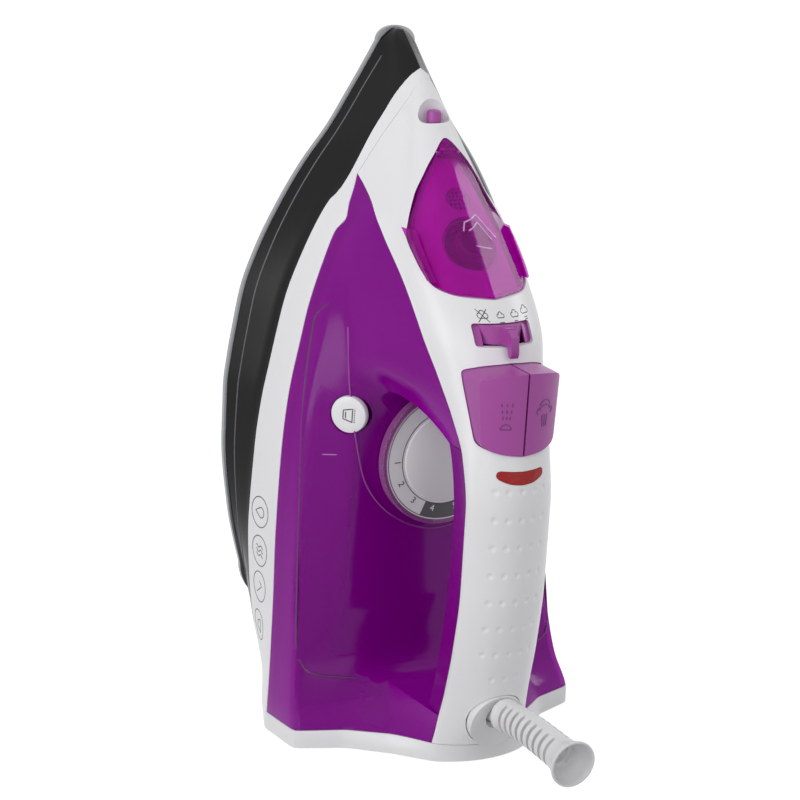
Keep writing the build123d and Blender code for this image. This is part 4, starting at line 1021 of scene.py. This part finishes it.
# The door's raised chevron; its pale colour is a painted highlight on the ribs.
CHEVRON = [[(-3.6, 209.4), (-2.4, 212.2), (3.4, 214.4), (9.8, 206.6)],
           [(-1.6, 209.6), (3.0, 212.0), (7.4, 206.2)], [(-0.6, 204.9), (6.0, 203.4)]]
new_object("door_chevron_highlight", strokes(CHEVRON, 0.36, on_door, 0.12), "door", door_chevron_highlight)
levels = moved(CLOUD, -7, 183.6, 1.0) + moved([[(-2, -2), (2, 2)], [(-2, 2), (2, -2)]], -7, 183.6)
levels += moved(CLOUD, -0.2, 183.4, 0.75) + moved(CLOUD, 6.0, 183.4, 0.9) + moved(CLOUD, 11.4, 184, 1.0)
levels += [[(-1.2, 181.4), (0.8, 181.4)]] + moved([[(-0.8, -1.9), (0.8, -1.9)]], 6.0, 183.4)
levels += moved([[(-0.8, -1.9), (0.8, -1.9)], [(-0.8, -2.6), (0.8, -2.6)]], 11.4, 184)
new_object("steam_marks", strokes(levels, 0.26, on_crown, 0.05), "iron", ink)
DROP = [[(0, 3.2)] + arc_line(0, -0.9, 2.1, 30, -210, 16) + [(0, 3.2)]]
WAVES = [[(x + 0.5 * math.sin(v * 1.7), v) for v in np.linspace(-2.8, 2.8, 12)] for x in (-1.8, 0, 1.8)]
BASE_LINE = [[(-2.8, -2.2), (2.8, -2.2)], [(-2.8, -2.2), (-1.6, 1.2), (1.4, 2.4), (2.8, -2.2)]]
TICK = [[(-2.4, 0.2), (-0.6, -2.2), (2.8, 2.6)]]
BADGES = ((89.0, 24.2, DROP), (73.1, 25.2, WAVES), (58.1, 25.6, TICK), (41.2, 24.2, BASE_LINE))
BADGE_RADIUS = 6.2
badges = []
for y, z, glyph in BADGES:
    badges += moved([arc_line(0, 0, BADGE_RADIUS, 0, 360, 40)] + glyph, y, z, 1.0, 180)
new_object("flank_badges", strokes(badges, 0.4, on_flank, 0.05), "iron", ink)

# ---- dial face
DIAL_TOP = DIAL_FACE - 0.3
NUMERAL_RADIUS, NUMERAL_SIZE = 20.9, 3.6
NUMERALS = [("1", 181), ("2", 206), ("3", 231), ("4", 257), ("5", 284)]
DARK_NUMERALS = 3  # the rest lie on the dark band and are light
BAND_INNER, BAND_OUTER = 18.9, 24.5


def on_dial(x, y, lift):
    """A place over the dial's printed face."""
    return (x, DIAL_Y + y, DIAL_TOP + lift)


def sector(inner, outer, start, end, lift, count=40):
    """A flat band round the dial."""
    arcs = [arc_line(0, 0, radius, start, end, count) for radius in (inner, outer)]
    return loops_mesh([[on_dial(*a, lift), on_dial(*b, lift), on_dial(*b, -0.1), on_dial(*a, -0.1)]
                       for a, b in zip(*arcs)])


def numeral(text, angle, lift):
    """A number printed on the dial with its top towards the centre."""
    curve = bpy.data.curves.new("numeral", "FONT")
    curve.body, curve.size, curve.extrude = text, NUMERAL_SIZE, 0.05
    curve.align_x = curve.align_y = "CENTER"
    mesh = evaluated(linked("numeral", curve))
    a = math.radians(angle)
    at = on_dial(NUMERAL_RADIUS * math.cos(a), NUMERAL_RADIUS * math.sin(a), lift)
    mesh.transform(translate(at) @ rotate(a + math.pi / 2, 4, "Z"))
    return mesh


dial_frame = translate((0, DIAL_Y, DIAL_TOP))
dial_lines = joined([sector(BAND_OUTER, 24.8, 0, 360, 0.04, 96), sector(18.6, BAND_INNER, 0, 360, 0.04, 72)])
dial_centre = turned([(0, -0.1), (17.6, -0.1), (17.6, 0.3), (17.1, 0.6), (0, 0.6)], dial_frame)
dark = joined([numeral(*number, 0.06) for number in NUMERALS[:DARK_NUMERALS]])
light = joined([numeral(*number, 0.11) for number in NUMERALS[DARK_NUMERALS:]])
new_object("dial_lines", dial_lines, "dial", ink)
new_object("dial_band", sector(BAND_INNER, BAND_OUTER, 246, 330, 0.05), "dial", ink_grey)
new_object("dial_centre", dial_centre, "dial", label_white)
new_object("dial_numbers", dark, "dial", ink)
new_object("dial_numbers_light", light, "dial", label_white)

# ---- self-cleaning button
CLEAN_TOP = 1.46
KEY_SIDES = [(0, -1.6), (6.6, -1.6), (7.2, -1.2), (7.2, 0.6), (6.95, 1.1), (6.3, 1.38), (4.5, 1.44),
             (0, CLEAN_TOP)]


def on_clean(x, y, lift):
    """A place over the self-cleaning button."""
    return tuple(clean_frame @ Vector((x, y, CLEAN_TOP + lift)))


clean_key = new_object("clean_key_cap", turned(KEY_SIDES, clean_frame), "clean_key", white)
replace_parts(clean_key, "self_clean_button")
sole_icon = [[(-1.7, 2.6), (-1.7, -2.6), (2.0, -1.7), (2.0, 1.7), (-0.2, 2.2), (-1.7, 2.6)],
             [(1.0, -1.2), (1.0, 1.3)]]
sole_icon += [[(-2.6, v), (-2.6, v + 0.35)] for v in np.linspace(-2.6, 2.3, 8)]
clean_symbol = strokes(moved(sole_icon, 0, 0, 1.0, 180), 0.42, on_clean, 0.08)
new_object("clean_symbol", clean_symbol, "clean_key", ink)

# ---- level line on the tank
level_mark = strokes([[(120.2, 51.4), (120.9, 55.2)]], 0.35, on_flank, 0.05)
new_object("level_line", level_mark, "iron", level_ink)

# ---- camera, light, backdrop
TARGET = Vector((0, shift - 0.0397, 0.140 - 0.01396))
AZIMUTH, ELEVATION, DISTANCE = 26.8, 10.3, 0.800


def aimed(name, data, azimuth, elevation, distance):
    """A camera or a light that looks at the target from a direction in degrees."""
    a, e = math.radians(azimuth), math.radians(elevation)
    way = Vector((-math.sin(a) * math.cos(e), -math.cos(a) * math.cos(e), math.sin(e)))
    obj = linked(name, data)
    obj.location = TARGET + way * distance
    obj.rotation_euler = (-way).to_track_quat("-Z", "Y").to_euler()
    return obj


def softbox(name, azimuth, elevation, distance, size, power, tall=1.0):
    """An area light over the floor."""
    data = bpy.data.lights.new(name, "AREA")
    data.shape, data.size, data.size_y, data.energy = "RECTANGLE", size, size * tall, power
    aimed(name, data, azimuth, elevation, distance)


camera_data = bpy.data.cameras.new("camera")
camera_data.lens, camera_data.sensor_width = 90.0, 36.0
scene.camera = aimed("camera", camera_data, AZIMUTH, ELEVATION, DISTANCE)
# name, azimuth, elevation, distance, size, power, height over width
softbox("key", 44, 12, 1.1, 0.5, 2.0, 1.6)
softbox("left_strip", 76, 16, 0.9, 0.26, 2.6, 3.2)
softbox("front", -12, 6, 1.1, 0.5, 1.1, 1.4)
softbox("right_strip", -79, 31, 0.9, 0.2, 1.3, 1.8)
softbox("top", 20, 78, 0.9, 0.7, 0.4)
world = bpy.data.worlds.new("studio")
scene.world = world
world.use_nodes = True
tree = world.node_tree
blend, plain = add_node(tree, "MixShader"), tree.nodes["Background"]
put(plain, Color=(0.95, 0.95, 0.96, 1), Strength=0.52)
bright = add_node(tree, "Background", Color=(1, 1, 1, 1), Strength=1.05)
connect(tree, (seen_rays(tree), "Value", blend, "Fac"), (plain, "Background", blend, 1),
        (bright, "Background", blend, 2), (blend, "Shader", tree.nodes["World Output"], "Surface"))
scene.view_settings.view_transform = "Standard"

# ---- floor
FLOOR_HALF, FLOOR_Z = 3.0, cad_box[0][2] - 0.0003
FLOOR_SHADE, FLOOR_GLOW = 0.46, 0.80
floor_mesh = bpy.data.meshes.new("floor")
floor_corners = [(FLOOR_HALF * a, FLOOR_HALF * b, FLOOR_Z) for a, b in ((-1, -1), (1, -1), (1, 1), (-1, 1))]
floor_mesh.from_pydata(floor_corners, [], [(0, 1, 2, 3)])
floor = linked("floor", floor_mesh)
floor_finish = bpy.data.materials.new("floor_white")
floor_finish.use_nodes = True
floor_mesh.materials.append(floor_finish)
tree = floor_finish.node_tree
tree.nodes.remove(tree.nodes["Principled BSDF"])
matte = add_node(tree, "BsdfDiffuse", Color=(FLOOR_SHADE, FLOOR_SHADE, FLOOR_SHADE, 1))
glow, add, level = add_node(tree, "Emission"), add_node(tree, "AddShader"), add_node(tree, "Math")
level.operation = "MULTIPLY"
level.inputs[1].default_value = FLOOR_GLOW
connect(tree, (seen_rays(tree), "Value", level, 0), (level, "Value", glow, "Strength"),
        (matte, "BSDF", add, 0), (glow, "Emission", add, 1),
        (add, "Shader", tree.nodes["Material Output"], "Surface"))
